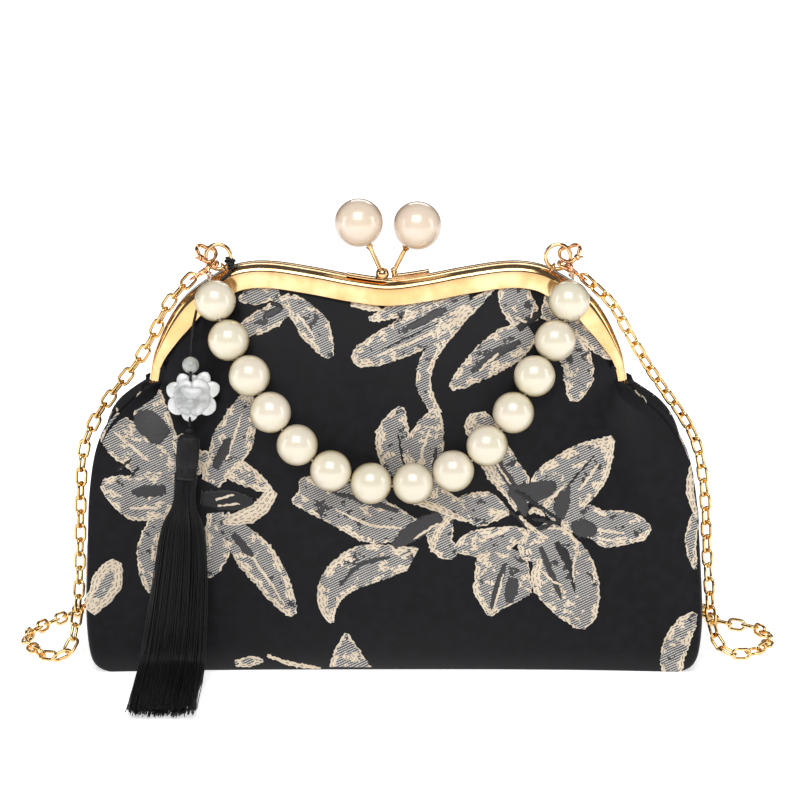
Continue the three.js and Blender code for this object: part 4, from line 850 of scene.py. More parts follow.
# petals by their middle line: style, layer, cream on both sides in mm, middle line, half width or rows of
# (share of the length, half width)
spinedPetals = [
    ("hatch", 1, 1.8, [(437, 415), (424, 385), (428, 360), (448, 330), (470, 308), (494, 288)], 9),
    ("hatch", 2, 2.4, [(470, 300), (410, 335), (352, 361)], [(0, 9), (0.2, 16), (0.5, 20), (0.8, 17), (0.95, 11),
     (1, 3)]),
    ("cream", 3, 0, [(462, 318), (415, 341), (372, 358)], 3), ("plain", 3, 0, [(448, 308), (405, 330)], 6),
    ("hatch", 1, 1.8, [(470, 294), (410, 306), (368, 320)], 10), ("cream", 1, 0, [(350, 303), (382, 310)], 5),
    ("ink", 3, 0, [(440, 322), (400, 341), (380, 351)], 2),
    ("hatch", 2, 2.2, [(532, 330), (487, 360), (450, 389)], [(0, 12), (0.25, 20), (0.55, 18), (0.85, 10), (1, 3)]),
    ("plain", 3, 0, [(522, 341), (492, 357), (470, 373)], 6),
    ("hatch", 1, 2.0, [(530, 326), (515, 300), (505, 280)], 18), ("cream", 3, 0, [(500, 352), (478, 372)], 3),
    ("hatch", 1, 2.2, [(558, 330), (578, 365), (574, 402)], [(0, 10), (0.3, 17), (0.7, 16), (0.92, 9), (1, 3)]),
    ("hatch", 1, 2.0, [(565, 318), (590, 338), (616, 360)], 10), ("plain", 2, 0, [(560, 338), (572, 365)], 6),
    ("ink", 3, 0, [(516, 330), (542, 312)], 6), ("hatch", 1, 1.6, [(548, 322), (556, 300), (560, 280)], 13),
    ("cream", 4, 0, [(528, 324), (514, 316)], 2), ("cream", 4, 0, [(530, 320), (534, 306)], 2),
    ("hatch", 2, 2.0, [(288, 298), (312, 325), (331, 358)], [(0, 8), (0.25, 13), (0.55, 17), (0.85, 10), (1, 3)]),
    ("hatch", 1, 1.8, [(294, 298), (268, 318), (236, 333)], 13), ("hatch", 1, 1.6, [(280, 290), (238, 300)], 10),
    ("plain", 3, 0, [(284, 306), (262, 318)], 5), ("ink", 3, 0, [(270, 302), (284, 308)], 4),
    ("cream", 3, 0, [(296, 312), (316, 340)], 2.4),
    ("hatch", 3, 2.2, [(210, 484), (235, 435), (249, 390)], [(0, 10), (0.2, 16), (0.5, 22), (0.8, 14), (1, 3)]),
    ("plain", 4, 0, [(214, 470), (231, 436)], 7), ("cream", 4, 0, [(226, 462), (243, 412)], 2.4),
    ("hatch", 3, 2.6, [(196, 456), (235, 470), (272, 491)], 12),
    ("cream", 4, 0, [(274, 490), (255, 512), (222, 523)], 9), ("ink", 4, 0, [(200, 498), (254, 502)], 11),
    ("cream", 5, 0, [(214, 500), (236, 494)], 2), ("cream", 5, 0, [(216, 506), (242, 504)], 2),
    ("hatch", 3, 2.4, [(220, 518), (262, 565), (294, 616)], [(0, 10), (0.2, 15), (0.45, 20), (0.75, 15), (0.92, 9),
     (1, 3)]),
    ("cream", 4, 0, [(236, 536), (266, 576), (286, 606)], 2.6), ("plain", 4, 0, [(232, 532), (254, 558)], 6),
    ("hatch", 2, 1.8, [(215, 512), (218, 545), (207, 578)], 14),
    ("hatch", 2, 2.4, [(180, 488), (145, 498), (101, 483)], [(0, 14), (0.25, 22), (0.55, 25), (0.85, 14), (1, 4)]),
    ("plain", 3, 0, [(168, 490), (130, 492)], 8), ("cream", 3, 0, [(160, 508), (128, 508)], 3),
    ("hatch", 1, 2.2, [(176, 476), (155, 430), (147, 380)], 20),
    ("hatch", 1, 2.4, [(170, 476), (125, 440), (95, 412)], 22),
    ("plain", 2, 0, [(166, 440), (151, 426), (136, 412)], 15), ("cream", 2, 0, [(150, 462), (112, 430)], 3),
    ("ink", 3, 0, [(133, 458), (116, 472)], 2), ("ink", 3, 0, [(140, 466), (128, 480)], 2),
    ("hatch", 1, 1.8, [(162, 508), (147, 550), (150, 594)], [(0, 6), (0.2, 9), (0.5, 11.5), (0.85, 8), (1, 2)]),
    ("hatch", 2, 1.8, [(176, 436), (202, 474)], 12),
    ("cream", 1, 1.0, [(88, 612), (103, 590), (117, 560)], [(0, 8), (0.25, 12), (0.6, 17), (0.9, 10), (1, 4)]),
    ("hatch", 2, 0, [(93, 604), (104, 588), (112, 570)], 7), ("hatch", 1, 1.4, [(234, 663), (264, 660)], 6),
    ("cream", 1, 0, [(266, 655), (292, 664), (322, 668)], 3.2),
    ("hatch", 1, 2.2, [(670, 682), (676, 645), (695, 612)], 14),
    ("cream", 1, 0, [(699, 448), (690, 486), (697, 520)], 5),
    ("hatch", 1, 1.4, [(700, 505), (691, 540), (695, 570)], 7),
    ("hatch", 1, 2.2, [(445, 513), (440, 540), (455, 558)], 14),
    ("hatch", 2, 2.2, [(398, 476), (393, 440), (401, 406)], [(0, 10), (0.3, 17), (0.6, 19), (0.85, 10), (1, 3)]),
    ("hatch", 3, 2.4, [(428, 500), (424, 455), (437, 408)], [(0, 10), (0.3, 16), (0.6, 20), (0.85, 12), (1, 3)]),
    ("cream", 4, 0, [(424, 490), (422, 455), (432, 424)], 3), ("plain", 4, 0, [(434, 480), (436, 446)], 4),
    ("hatch", 1, 1.6, [(402, 486), (440, 500), (470, 520)], 13),
    ("cream", 3, 0, [(402, 496), (430, 505), (468, 521)], 5),
    ("plain", 4, 0, [(442, 515), (415, 530), (392, 547)], 10), ("cream", 5, 0, [(440, 522), (412, 540)], 2.4),
    ("cream", 3, 0, [(455, 512), (440, 528), (431, 553)], 5),
    ("plain", 5, 0, [(508, 486), (530, 492), (557, 484)], [(0, 2), (0.2, 6), (0.5, 11), (0.8, 10), (1, 3)]),
    ("plain", 5, 0, [(509, 489), (520, 502), (526, 517)], 7),
    ("plain", 5, 0, [(560, 520), (562, 503), (570, 485)], [(0, 3), (0.3, 9.5), (0.6, 8), (1, 1)]),
    ("ink", 4, 0, [(566, 487), (596, 454)], 1.6), ("cream", 4, 0, [(578, 492), (600, 462)], 2.4),
    ("plain", 5, 0, [(570, 524), (584, 528), (598, 532)], [(0, 3), (0.4, 11), (0.8, 8), (1, 3)]),
    ("cream", 4, 0, [(572, 528), (600, 530), (626, 534)], 2.6),
    ("ink", 4, 0, [(555, 541), (568, 562), (575, 594)], [(0, 3), (0.3, 6.5), (0.6, 3), (1, 0.8)]),
    ("cream", 4, 0, [(546, 528), (563, 530), (577, 545), (573, 566), (574, 584)], 2.4),
    ("cream", 4, 0, [(539, 568), (552, 580), (564, 586)], 2.2),
    ("plain", 4, 0, [(540, 545), (548, 566), (562, 600)], 5),
    ("plain", 3, 0, [(506, 561), (498, 585), (490, 611)], 5),
    ("cream", 4, 0, [(504, 572), (498, 594), (492, 613)], 2), ("plain", 3, 0, [(514, 576), (508, 604)], 8),
    ("cream", 2, 0, [(486, 511), (502, 512)], 5), ("cream", 3, 0, [(511, 528), (498, 533), (483, 539)], 3),
    ("plain", 3, 0, [(520, 492), (504, 474), (492, 450)], 6),
    ("cream", 4, 0, [(512, 486), (496, 462), (480, 430)], 2.2),
    ("ink", 7, 0, [(514, 489), (538, 505), (562, 522)], [(0, 3), (0.2, 3.5), (0.5, 2), (1, 2.5)]),
    ("cream", 7, 0, [(528, 513), (536, 510), (545, 517)], 3.6), ("ink", 5, 0, [(531, 532), (556, 522)], 4),
    ("cream", 7, 0, [(568, 482), (556, 494), (543, 508)], [(0, 1), (0.5, 2), (0.85, 4.5), (1, 2)]),
    ("cream", 6, 0, [(518, 516), (530, 527), (548, 538)], 3.2),
    ("ink", 6, 0, [(531, 518), (546, 521), (562, 523)], 2.2),
    ("ink", 6, 0, [(508, 511), (520, 520), (528, 532)], 1.8),
    ("plain", 3, 0, [(400, 512), (364, 500), (330, 492)], 5),
    ("cream", 3, 0, [(404, 528), (368, 524), (334, 508)], 2.6),
    ("plain", 4, 0, [(392, 556), (358, 566), (338, 588)], 4), ("ink", 4, 0, [(404, 468), (398, 432)], 2),
]

petalForm = [(0, 0.6), (0.25, 0.95), (0.6, 1), (0.85, 0.7), (1, 0.2)]
styleColumns = {"hatch": (0, 0, 0), "plain": (1, 0, 0), "cream": (0, 1, 0), "ink": (0, 0, 1)}
weaveFloats = ("weaveAlong", "weaveLeft", "weaveRight", "creamLeft", "creamRight", "plainShare", "creamShare",
               "inkShare")
patternStep = {"grid": 0.8, "lift": 0.12, "layer": 0.1, "sink": 0.25, "ragged": 1.0, "wall": 0.35, "seed": 7,
               "stagger": 0.004, "wave": 0.6, "facing": 0.55, "widest": 3.2}
pixel = camera["distance"] / camera["focal"]  # millimetres that one pixel of the view covers at the purse
photoCentre = 400


def petalBorders(spine, widths):
    line = smoothLine(spine, between=10)
    way = tangentsOf(line)
    square = np.stack([way[:, 1], -way[:, 0]], -1)
    form = np.array(widths if isinstance(widths, list) else [(s, w * widths) for s, w in petalForm], float)
    share = runOf(line) / runOf(line)[-1]
    wide = np.interp(share, form[:, 0], form[:, 1])[:, None]
    return line + square * wide, line - square * wide


def turnedBy(degrees, v):
    a = math.radians(degrees)
    return arr(v[0] * math.cos(a) - v[1] * math.sin(a), v[0] * math.sin(a) + v[1] * math.cos(a), v[2])


def ontoCloth(pixels, degrees, square=0):
    # points of the view, turned about the upright axis, dropped onto the cloth
    start = Vector(turnedBy(degrees, cameraPlace) * millimetre)
    found = []
    for px, py in pixels:
        across, down = (arr(px, py) - photoCentre) / camera["focal"]
        way = turnedBy(degrees, cameraForward + across * axisX - down * cameraUp)
        hit = clothSurface.ray_cast(start, Vector(unit(way)))
        faced = hit[0] is not None and (not square or -hit[1].dot(Vector(unit(way))) > square)
        found.append(hit[:2] if faced else None)
    return found


def patternPiece(name, degrees, edged, spined, shift=(0, 0), wraps=True):
    # the chart of petals laid on the cloth as it is seen after a turn about the upright axis
    backwards = Vector(turnedBy(degrees, axisY))
    rng = np.random.default_rng(patternStep["seed"])
    points, faces, places, columns = [], [], [], []
    petals = [(s, l, a, b, smoothLine(left, between=10), smoothLine(right, between=10))
              for s, l, a, b, left, right in edged]
    petals += [(s, l, c, c, *petalBorders(spine, widths)) for s, l, c, spine, widths in spined]
    for order, (style, layer, creamLeft, creamRight, left, right) in enumerate(petals):
        long = max(runOf(left)[-1], runOf(right)[-1]) * pixel
        rows = max(6, int(long / patternStep["grid"]) + 1)
        leftLine, rightLine = (atShares(line, np.linspace(0, 1, rows)) for line in (left, right))
        wide = np.linalg.norm(leftLine - rightLine, axis=1).max() * pixel
        cols = max(5, int(wide / patternStep["grid"]) + 2)
        wave = rng.normal(0, patternStep["ragged"] * patternStep["wave"], (2, rows, 1))
        square = unit((rightLine - leftLine).mean(0))
        leftLine, rightLine = leftLine + wave[0] * square, rightLine + wave[1] * square
        shares = np.linspace(0, 1, cols)
        grid = leftLine[:, None] + (rightLine - leftLine)[:, None] * shares[None, :, None]
        pixels = grid.reshape(-1, 2)
        hits = ontoCloth(pixels + arr(*shift), degrees, 0 if wraps else patternStep["facing"])
        landed = [k for k, h in enumerate(hits) if h]
        if len(landed) < 4 or len(landed) < len(hits) and not wraps:
            continue
        landedPixels = pixels[landed]
        lift = patternStep["lift"] + patternStep["layer"] * layer + patternStep["stagger"] * (order % 12)
        spots = []
        for k, hit in enumerate(hits):
            if hit is None:
                near = landed[int(np.linalg.norm(landedPixels - pixels[k], axis=1).argmin())]
                past = np.linalg.norm(pixels[near] - pixels[k]) * pixel
                aim = hits[near][0] + backwards * past * millimetre
                spot, normal = clothSurface.find_nearest(aim)[:2]
            else:
                spot, normal = hit
            r, c = divmod(k, cols)
            edge = r in (0, rows - 1) or c in (0, cols - 1)
            spots.append(np.array(spot) / millimetre + np.array(normal) * (-patternStep["sink"] if edge else lift))
        start = len(points)
        points += spots
        # no petal is drawn out over the deep fold of a gusset
        for face in gridFaces(rows, cols):
            corners = np.array([spots[k] for k in face])
            if np.linalg.norm(corners - np.roll(corners, 1, 0), axis=1).max() < patternStep["widest"]:
                faces.append(tuple(k + start for k in face))
        widths = np.linalg.norm(rightLine - leftLine, axis=1) * pixel
        places.append(np.concatenate([pixels * pixel, np.zeros((len(pixels), 1))], 1))
        values = (np.repeat(np.linspace(0, long, rows), cols), (widths[:, None] * shares[None]).ravel(),
                  (widths[:, None] * (1 - shares[None])).ravel(), creamLeft, creamRight, *styleColumns[style])
        columns.append([np.broadcast_to(value, len(pixels)) for value in values])
    obj = meshPiece(name, [(np.array(points), faces)], brocade, outward=False, ride=False)
    for k, attributeName in enumerate(weaveFloats):
        made = obj.data.attributes.new(attributeName, "FLOAT", "POINT")
        made.data.foreach_set("value", np.concatenate([column[k] for column in columns]).astype(float))
    made = obj.data.attributes.new("weavePlace", "FLOAT_VECTOR", "POINT")
    made.data.foreach_set("vector", np.concatenate(places).ravel())
    # every petal's faces look out of the cloth
    work = bmesh.new()
    work.from_mesh(obj.data)
    for face in work.faces:
        spot, normal = clothSurface.find_nearest(face.calc_center_median())[:2]
        if face.normal.dot(normal) < 0:
            face.normal_flip()
    work.to_mesh(obj.data)
    work.free()
    solid = obj.modifiers.new("wovenWall", "SOLIDIFY")
    solid.thickness = patternStep["wall"] * millimetre
    solid.offset = -1
    finishPiece(obj)
    print("%s, %d faces" % (name, len(obj.data.polygons)))


patternPiece("liliesFront", 0, edgedPetals, spinedPetals)
patternPiece("liliesBack", 180, edgedPetals, spinedPetals, shift=(8, 0))
for name, degrees, shift in (("liliesRight", 90, (-128, 40)), ("liliesLeft", -90, (-132, 62))):
    patternPiece(name, degrees, edgedPetals[:7], spinedPetals[-34:-4], shift, wraps=False)


def roundedOutline(corners, radii, steps=4):
    # eases the corners of a closed outline, each by its own radius
    corners = np.asarray(corners, float)
    out = []
    for k, corner in enumerate(corners):
        radius = radii[k]
        if radius <= 0:
            out.append(corner)
            continue
        before, after = corners[k - 1] - corner, corners[(k + 1) % len(corners)] - corner
        room = 0.45 * min(np.linalg.norm(before), np.linalg.norm(after))
        reach = min(radius, room)
        a, b = corner + unit(before) * reach, corner + unit(after) * reach
        for t in np.linspace(0, 1, steps):
            out.append((1 - t) ** 2 * a + 2 * t * (1 - t) * corner + t ** 2 * b)
    return np.array(out)


halfGap, halfDepth, bandWide = frameSize["gap"] / 2, frameSize["halfDepth"], frameSize["band"]
channelSection = roundedOutline(
    [(0, halfGap), (0, halfDepth * 0.53), (bandWide * 0.08, halfDepth * 0.83), (bandWide * 0.24, halfDepth),
     (bandWide, halfDepth), (bandWide, halfDepth - frameSize["wall"]),
     (frameSize["roof"], halfDepth - frameSize["wall"]), (frameSize["roof"], halfGap + frameSize["wall"]),
     (bandWide - 0.8, halfGap + frameSize["wall"]), (bandWide - 0.8, halfGap)],
    [0.2, 1.0, 0.8, 0.6, 0.35, 0.35, 0.5, 0.5, 0.2, 0.2])

lug = {"radius": 3, "thick": 1.2, "drop": 3.8, "outside": 0.4, "bevel": 0.2}
rivet = {"radius": 1, "head": 1.9, "headThick": 0.8}
ear = {"radius": 1.75, "wire": 0.5}
shoulderRing = {"place": 0.538, "radius": 4.85, "wire": 0.8}
pivotHeight = hingeHeight - lug["drop"]
ringLift = shoulderRing["wire"] + seat
ringY = -halfDepth / 2


def armEnd(side):
    return frameSize["shift"] + side * frameHalf


def channelPart(half):
    alongs = np.linspace(-1, 1, frameSize["steps"] + 1)
    point, _, outward, slim = frameStation(alongs)
    rings = []
    for k in range(len(alongs)):
        ring = point[k] - np.outer(channelSection[:, 0] * slim[k], outward[k])
        ring[:, 1] = half * channelSection[:, 1]
        rings.append(ring)
    count = len(channelSection)
    faces = gridFaces(len(rings), count, True)
    return np.array(rings), faces + endCaps(len(rings), count)


def lugPart(side, half):
    outside = lug["outside"] if half > 0 else lug["outside"] + lug["thick"] + frameSize["gap"]
    top = hingeHeight + 2
    turn = np.linspace(0, -math.pi, 22)
    outline = [(halfGap, top), (halfGap + 2.2, top), (lug["radius"], pivotHeight + 1)]
    outline += [(lug["radius"] * math.cos(a), pivotHeight + lug["radius"] * math.sin(a)) for a in turn]
    outline += [(halfGap, hingeHeight - 0.5)]
    outline = [(half * y, z) for y, z in outline]
    x = armEnd(side) - side * outside
    start = x - lug["thick"] if side > 0 else x
    return plateParts(outline, lug["thick"], lug["bevel"], (start, 0, 0), axisY, axisZ, axisX)


def ringStation(side):
    point, tangent, outward, _ = frameStation(side * shoulderRing["place"])
    return point[0], tangent[0], outward[0]


def earPart(side):
    point, tangent, outward = ringStation(side)
    middle = point + outward * ringLift
    middle[1] = ringY
    loop = ringAround(middle, axisY, outward, ear["radius"], 28)
    return tubeAlong(loop, ear["wire"], 10, closed=True)


for half, node in ((-1, "frame_front"), (1, "frame_back")):
    parts = [channelPart(half), lugPart(-1, half), lugPart(1, half)]
    if half < 0:
        parts += [earPart(-1), earPart(1)]
    meshPiece("frameFront" if half < 0 else "frameBack", parts, brass, replaces=[node], crease=42)

for side, node in ((-1, "hinge_rivet_left"), (1, "hinge_rivet_right")):
    outer = armEnd(side) - side * (lug["outside"] - seat)
    inner = armEnd(side) - side * (lug["outside"] + 2 * lug["thick"] + frameSize["gap"] + seat)
    length = abs(outer - inner)
    dome = [(rivet["head"] * math.sin(a), rivet["headThick"] * math.cos(a)) for a in np.linspace(0, math.pi / 2, 8)]
    profile = [(r, -h) for r, h in dome] + [(rivet["radius"], 0), (rivet["radius"], length)]
    profile += [(r, length + h) for r, h in dome[::-1]]
    part = lathe(profile, 24, (min(outer, inner), 0, pivotHeight), axisY, axisZ, axisX)
    meshPiece("hingeRivetLeft" if side < 0 else "hingeRivetRight", [part], brass, replaces=[node],
              crease=40)
print("frame halves and hinge rivets")


kissLock = {"pearl": 19, "spread": 22.7, "height": 21.8, "stagger": 1.6, "lean": 1.5, "stem": 0.9,
            "stripLength": 15, "stripWidth": 4.4, "stripThick": 1, "stop": 5.2,
            # share of the stem's radius, height over the collar
            "collarRows": [(1, -1.6), (1.15, -1.2), (1.75, -0.35), (1.9, -0.05), (1.8, 0.1), (1, 0.1)]}
topMiddle = float(frameStation(0)[0][0, 2])


def ballProfile(radius, start=0.0, end=math.pi, steps=26):
    # the half circle that turns into a ball, from low to high
    return [(radius * math.sin(a), -radius * math.cos(a)) for a in np.linspace(start, end, steps)]


def boredBall(radius, bore, deep):
    # a ball with a blind hole from below
    edge = math.asin(bore / radius)
    hole = [(bore, -radius * math.cos(edge) + 0.12), (bore, -radius + deep), (0, -radius + deep)]
    return [(r, -h) for r, h in ballProfile(radius, 0, math.pi - edge - 0.03)] + hole


for half, stemNode, pearlNode in ((-1, "clasp_stem_front", "clasp_pearl_left"),
                                  (1, "clasp_stem_back", "clasp_pearl_right")):
    side = half
    y = half * halfDepth / 2
    foot = arr(frameSize["shift"] + side * kissLock["spread"] * 0.1, y, topMiddle + seat + kissLock["stop"] / 2)
    pearlSpot = arr(frameSize["shift"] + side * kissLock["spread"] / 2, half * kissLock["lean"],
                    topMiddle + kissLock["height"] - half * kissLock["stagger"] / 2)
    up = unit(pearlSpot - foot)
    across = unit(np.cross(axisY, up))
    deep = np.cross(across, up)
    reach = np.linalg.norm(pearlSpot - foot)
    radius = kissLock["pearl"] / 2
    peg = radius * 0.5
    collar = reach - radius - seat
    stemRadius = kissLock["stem"]
    profile = [(0, 0), (stemRadius, 0)] + [(stemRadius * r, collar + h) for r, h in kissLock["collarRows"]]
    profile += [(stemRadius, reach - radius + peg - seat), (0, reach - radius + peg - seat)]
    parts = [lathe(profile, 24, foot, across, deep, up)]

    # the bent foot runs from the strip up into the stem
    stripSteps = 14
    stripStart = kissLock["spread"] * 0.06
    alongs = np.linspace(stripStart, stripStart + kissLock["stripLength"], stripSteps) * side
    stations = frameStation(alongs / (runOf(archLine)[-1] / 2))
    rings = []
    for k in range(stripSteps):
        lowSpot = stations[0][k] + stations[2][k] * seat
        highSpot = stations[0][k] + stations[2][k] * (seat + kissLock["stripThick"])
        wide = kissLock["stripWidth"] / 2 * (1 - 0.25 * max(0, (k - 11) / 2) ** 2)
        box = roundedOutline([(-wide, 0), (wide, 0), (wide, 1), (-wide, 1)], [0.1, 0.1, 0.45, 0.45], 3)
        rings.append([lowSpot + (highSpot - lowSpot) * v + axisY * (y + u) for u, v in box])
    count = len(rings[0])
    parts.append((np.array(rings), gridFaces(stripSteps, count, True) + endCaps(stripSteps, count)))
    neckLine = smoothLine([stations[0][1] + stations[2][1] * (seat + 0.5) + axisY * y,
                           arr(foot[0] + side * 0.4, y, foot[2] - kissLock["stop"] * 0.32), foot,
                           foot + up * 1.4], between=8)
    parts.append(tubeAlong(neckLine, np.linspace(stemRadius * 1.25, stemRadius * 0.97, len(neckLine)), 16))
    stopSize = kissLock["stop"] / 2 if half < 0 else kissLock["stop"] * 0.27
    parts.append(lathe(ballProfile(stopSize, steps=20), 32, foot, across, deep, up))
    meshPiece("lockStemFront" if half < 0 else "lockStemBack", parts, brass, replaces=[stemNode],
              crease=50)

    part = lathe(boredBall(radius, stemRadius + seat, peg), 48, pearlSpot, across, deep, up)
    meshPiece("lockPearlLeft" if half < 0 else "lockPearlRight", [part], lockPearl, replaces=[pearlNode])
print("kiss lock")


def ringCentre(side):
    point, _, outward = ringStation(side)
    centre = point + outward * (ringLift + shoulderRing["radius"])
    centre[1] = ringY
    return centre


def ringWireAt(side, degrees):
    a = math.radians(degrees)
    spot = ringCentre(side) + arr(side * math.cos(a), 0, -math.sin(a)) * shoulderRing["radius"]
    return spot, arr(side * math.sin(a), 0, math.cos(a))


for side, word in ((-1, "left"), (1, "right")):
    centre = ringCentre(side)
    loop = ringAround(centre, axisX, axisZ, shoulderRing["radius"], 72)
    meshPiece("shoulderRing" + word.capitalize(), [tubeAlong(loop, shoulderRing["wire"], 16, closed=True)],
              brass, replaces=["shoulder_ring_" + word])


handle = {"pearl": 16, "count": 14, "sides": 44, "bore": 1.8, "thread": 0.5, "loop": 1.12, "loopWire": 0.35,
          "claspTurn": -18, "claspHang": 0.3}
pearlRadius = handle["pearl"] / 2
pearlSpots = [meanOf("pearl_%02d" % (k + 1)) for k in range(handle["count"])]


def boreAxis(before, spot, after):
    return unit(unit(after - spot) + unit(spot - before))


heldSpots = [ringWireAt(side, handle["claspTurn"])[0] for side in (-1, 1)]
chainOfSpots = [heldSpots[0]] + pearlSpots + [heldSpots[1]]
pearlAxes = [boreAxis(*chainOfSpots[k:k + 3]) for k in range(handle["count"])]


def newGeometryTree(name, inputs):
    # a geometry tree on a path, with named inputs and the material it ends in
    inputs = {"Geometry": ("Geometry", None), **inputs, "Material": ("Material", None)}
    return newGroup(name, inputs, {"Geometry": "Geometry"}, "GeometryNodeTree")


def grownMesh(obj, group, values, name, material, replaces):
    # runs a geometry tree on obj and keeps the result as a plain mesh
    values = dict(values, Material=material)
    modifier = obj.modifiers.new("tree", "NODES")
    modifier.node_group = group
    for item in group.interface.items_tree:
        if item.item_type == "SOCKET" and item.in_out == "INPUT" and item.name in values:
            modifier[item.identifier] = values[item.name]
    graph = bpy.context.evaluated_depsgraph_get()
    mesh = bpy.data.meshes.new_from_object(obj.evaluated_get(graph), preserve_all_data_layers=True, depsgraph=graph)
    mesh.name = name
    made = bpy.data.objects.new(name, mesh)
    bpy.context.scene.collection.objects.link(made)
    mesh.materials.clear()
    mesh.materials.append(material)
    mesh.polygons.foreach_set("use_smooth", [True] * len(mesh.polygons))
    bpy.data.objects.remove(obj)
    finishPiece(made, "bag", replaces)


def pathObject(name, points, attributes=None):
    # a bare line of points in millimetres, with values at its points
    mesh = bpy.data.meshes.new(name)
    count = len(points)
    mesh.from_pydata([tuple(p) for p in np.asarray(points) * millimetre], [(k, k + 1) for k in range(count - 1)], [])
    for key, values in (attributes or {}).items():
        values = np.asarray(values, float)
        kind = "FLOAT_VECTOR" if values.ndim == 2 else "FLOAT"
        made = mesh.attributes.new(key, kind, "POINT")
        made.data.foreach_set("vector" if values.ndim == 2 else "value", values.ravel())
    obj = bpy.data.objects.new(name, mesh)
    bpy.context.scene.collection.objects.link(obj)
    return obj


def named(tree, name, kind="FLOAT"):
    return tree.node("GeometryNodeInputNamedAttribute", {"Name": name}, data_type=kind).outputs[0]


def endTree(tree, geometry, groupIn, groupOut):
    real = tree.node("GeometryNodeRealizeInstances", {"Geometry": geometry})
    painted = tree.node("GeometryNodeSetMaterial", {"Geometry": real.outputs[0],
                                                    "Material": groupIn.outputs["Material"]})
    tree.put(groupOut.inputs[0], painted.outputs[0])


# one pearl turned round its bore, then set on every spot
openBore = math.asin(handle["bore"] / pearlRadius)
boreEdge = pearlRadius * math.cos(openBore)
boreLip = [(handle["bore"] * 0.98, boreEdge), (handle["bore"] * 0.55, boreEdge * 0.98)]
beadProfile = [(r, -h) for r, h in boreLip[::-1]]
beadProfile += ballProfile(pearlRadius, openBore + 0.02, math.pi - openBore - 0.02) + boreLip
# without its caps, and with the last ring joined to the first, the pearl has a bore right through
beadPoints, beadFaces = lathe(beadProfile, handle["sides"])
boreFaces = gridFaces(len(beadProfile), handle["sides"], True, True)[-handle["sides"]:]
pearlShape = meshPiece("pearlShape", [(beadPoints, beadFaces[:-2] + boreFaces)], creamPearl, ride=False)

pearlTree, tree, groupIn, groupOut = newGeometryTree("pearlsOnSpots", {"Pearl": ("Object", None)})
turned = tree.node("FunctionNodeAlignRotationToVector", {"Vector": named(tree, "boreAxis", "FLOAT_VECTOR")}, axis="Z")
shape = tree.node("GeometryNodeObjectInfo", {"Object": groupIn.outputs["Pearl"]})
points = tree.node("GeometryNodeMeshToPoints", {"Mesh": groupIn.outputs["Geometry"]})
strung = tree.node("GeometryNodeInstanceOnPoints", {
    "Points": points.outputs[0], "Instance": shape.outputs["Geometry"], "Rotation": turned.outputs[0]})
endTree(tree, strung.outputs[0], groupIn, groupOut)
spotObject = pathObject("pearlSpots", pearlSpots, {"boreAxis": pearlAxes})
grownMesh(spotObject, pearlTree, {"Pearl": pearlShape}, "handlePearls", creamPearl,
          replaces=["pearl_%02d" % (k + 1) for k in range(handle["count"])])
bpy.data.objects.remove(pearlShape)
print("handle pearls")


clasp = {
    "handle": {"width": 10, "length": 7.8}, "chain": {"width": 5.8, "length": 8.6, "neck": 1.8},
    "band": 1.3, "thick": 2, "leverThick": 0.8, "hub": 1.05, "eyeRadius": 1.15, "eyeWire": 0.4,
    "pivotTurn": -44, "gateTurn": 130, "gateReach": 0.87,
    "chainTurn": 55, "chainFall": 32, "chainHang": 0.9, "chainShift": 0.2,
    "outline": [(0, 0.84), (0.42, 1), (0.85, 0.74), (1, 0.12), (0.8, -0.48), (0.4, -0.94), (0, -1.12)],
    # radius, share of the way from the eye's middle to the neck's top
    "neckTop": 0.7, "neckRows": [(0, 1), (0.62, 1), (0.6, 0.72), (0.85, 0.62), (0.85, 0.5), (0.55, 0.42)],
}
claspFoot = clasp["outline"][-1][1]


def hookLine(halfWidth, halfLength):
    right = [(a * halfWidth, u * halfLength) for a, u in clasp["outline"]]
    left = [(-a * halfWidth, u * halfLength) for a, u in clasp["outline"][-2:0:-1]]
    return smoothLine(right + left, closed=True, between=12)


